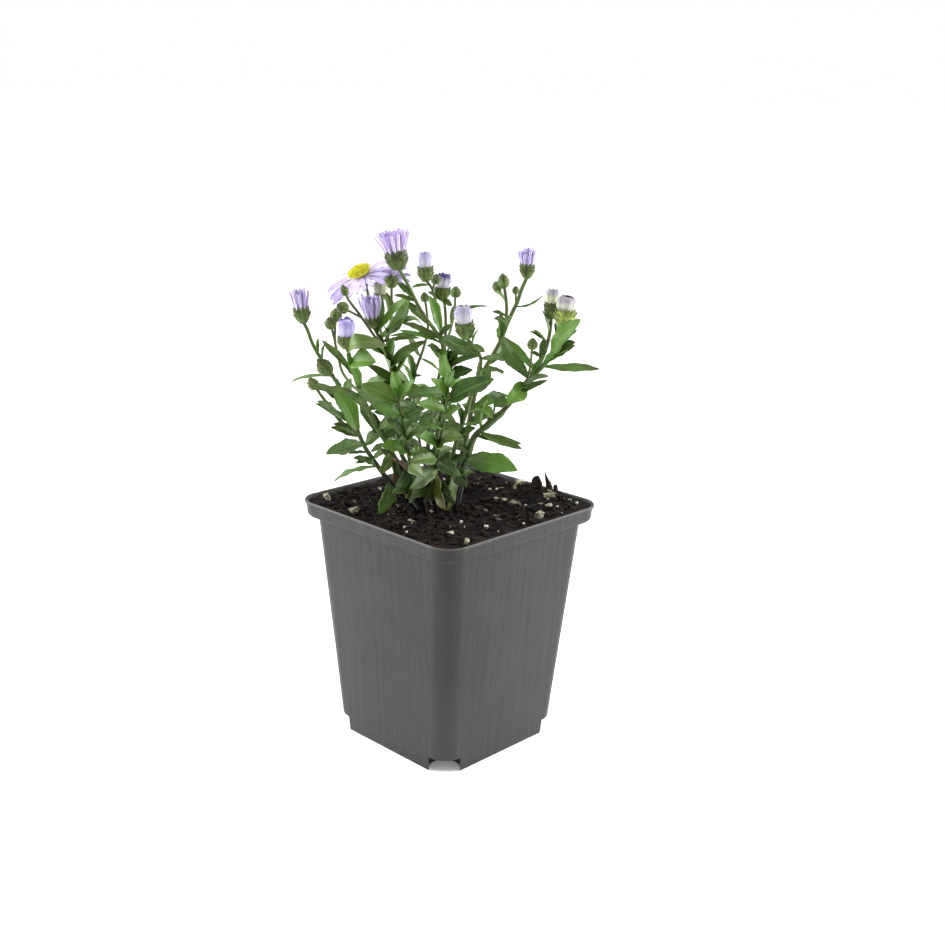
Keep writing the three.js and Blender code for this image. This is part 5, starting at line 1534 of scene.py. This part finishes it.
# The discs of the open flowers
# A low yellow dome in the middle of the ring of rays, packed with tube-shaped florets. They stand on the
# golden angle, one turned and hollowed tube for all, a little longer towards the edge.
GOLDEN_ANGLE = 2.39996
DISC_RISE = 1.6
DISC_SHAPE = [(0, 0.78), (0.35, 0.9), (0.72, 0.66), (0.9, 0.3)]
clear_selection()
bpy.ops.mesh.primitive_cylinder_add(vertices=6, radius=0.5, depth=1, location=(0, 0, 0))
floret = bpy.context.object
floret.name = "floret"
bpy.ops.object.mode_set(mode="EDIT")
pick("faces", lambda f: f.normal.z > 0.9)
bpy.ops.transform.resize(value=(1.25, 1.25, 1))
bpy.ops.mesh.inset(thickness=0.16)
bpy.ops.transform.translate(value=(0, 0, -0.35))
bpy.ops.object.mode_set(mode="OBJECT")
disc_yellow = new_finish("disc_yellow", 0.6, 0.3)
disc_tone = mottle(disc_yellow, 900, detail=3)
colour_with(disc_yellow, shade("#c6c233"), (spread(disc_yellow, disc_tone, 0.35, 0.65), "#e0dd58"))
emboss(disc_yellow, disc_tone, 0.1 * MM)
for head in heads:
    if head["kind"] != "flower":
        continue
    radius, height = head["disc"]
    base, axis = head["mouth"] + head["axis"] * DISC_RISE, head["axis"]
    sides = square_to(axis)
    florets = [turned_core(base, axis, DISC_SHAPE, radius * 0.95, height, disc_yellow)]
    count = int(radius * radius * 7)
    for k in range(count):
        share = math.sqrt((k + 0.5) / count)
        out = outward(sides, GOLDEN_ANGLE * k)
        lean = share * 0.75
        point = base + out * (share * radius * 0.9) + axis * (height * (0.92 - 0.55 * share * share))
        direction = (axis * math.cos(lean) + out * math.sin(lean)).normalized()
        size = 0.5 + 0.14 * draw(k)
        florets.append(
            copy_at(floret, stood(point, direction) @ Matrix.Diagonal((size, size, 0.9 + 0.4 * share, 1)))
        )
    disc = gather(f"florets_{head['place']}", florets)
    dress(disc, disc_yellow)
    smooth(disc, 40)
    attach(disc, "root")
    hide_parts(f"disc_{head['place']}")
bpy.data.objects.remove(floret)
bpy.data.objects.remove(ray)

# The table and the light
# A plain white table with wide soft lamps: one over the plant, one on each side of it. The eye stands half
# a metre away, a little higher than the flowers, and looks down on one corner of the pot.
clear_selection()
bpy.ops.mesh.primitive_plane_add(size=40, location=(0, 0, -0.0001))
table = bpy.context.object
table.name = "table"
table_finish = new_finish("white_table", 0.9, 0.1)
colour_with(table_finish, shade("#f6f6f6"), (mottle(table_finish, 4), "#fbfbfb"))
table_shader = table_finish.node_tree.nodes["Principled BSDF"]
table_shader.inputs["Emission Color"].default_value = (1, 1, 1, 1)
table_shader.inputs["Emission Strength"].default_value = 0.12
table.data.materials.append(table_finish)

world = bpy.context.scene.world or bpy.data.worlds.new("daylight")
bpy.context.scene.world = world
world.use_nodes = True
world.node_tree.nodes["Background"].inputs["Color"].default_value = (1, 1, 1, 1)
world.node_tree.nodes["Background"].inputs["Strength"].default_value = 1.0
# each lamp, turned to the plant's foot: place, width and power
LAMP_AIM = Vector((0, 0, 0.1))
LAMPS = [
    ((0.15, -0.2, 1.0), 0.8, 3),
    ((-0.62, -0.45, 0.32), 0.5, 13),
    ((0.45, 0.62, 0.32), 0.5, 13),
]
for k, (place, width, power) in enumerate(LAMPS):
    lamp = bpy.data.lights.new(f"soft_lamp_{k}", "AREA")
    lamp.size = width
    lamp.energy = power
    held = bpy.data.objects.new(lamp.name, lamp)
    held.location = place
    held.rotation_euler = (LAMP_AIM - Vector(place)).to_track_quat("-Z", "Y").to_euler()
    bpy.context.collection.objects.link(held)

# the eye goes round and over the pot's middle, then is turned, tilted and rolled a little, all in degrees
EYE_AIM = Vector((0, 0, 0.05))
AZIMUTH, ELEVATION, DISTANCE = 45.135, 22.5, 0.55657
TURN, TILT, ROLL = -0.996, 6.134, -1.4
FOCAL_LENGTH = 50.7
round_z, above = math.radians(AZIMUTH), math.radians(ELEVATION)
back = Vector((math.sin(round_z) * math.cos(above), -math.cos(round_z) * math.cos(above), math.sin(above)))
ahead, right = -back, Vector((math.cos(round_z), math.sin(round_z), 0))
turn = Matrix.Rotation(math.radians(TURN), 3, "Z")
ahead, right = turn @ ahead, turn @ right
up = right.cross(ahead)
tilt = Matrix.Rotation(math.radians(TILT), 3, right)
ahead, up = tilt @ ahead, tilt @ up
roll = Matrix.Rotation(math.radians(ROLL), 3, ahead)
right, up = roll @ right, roll @ up
facing = Matrix((right, up, -ahead)).transposed().to_4x4()
camera = bpy.data.objects.new("eye", bpy.data.cameras.new("eye"))
bpy.context.collection.objects.link(camera)
camera.data.lens = FOCAL_LENGTH
camera.data.sensor_width = 36
camera.data.clip_start = 0.01
camera.matrix_world = Matrix.Translation(EYE_AIM + back * DISTANCE) @ facing
bpy.context.scene.camera = camera
bpy.context.scene.view_settings.view_transform = "Standard"
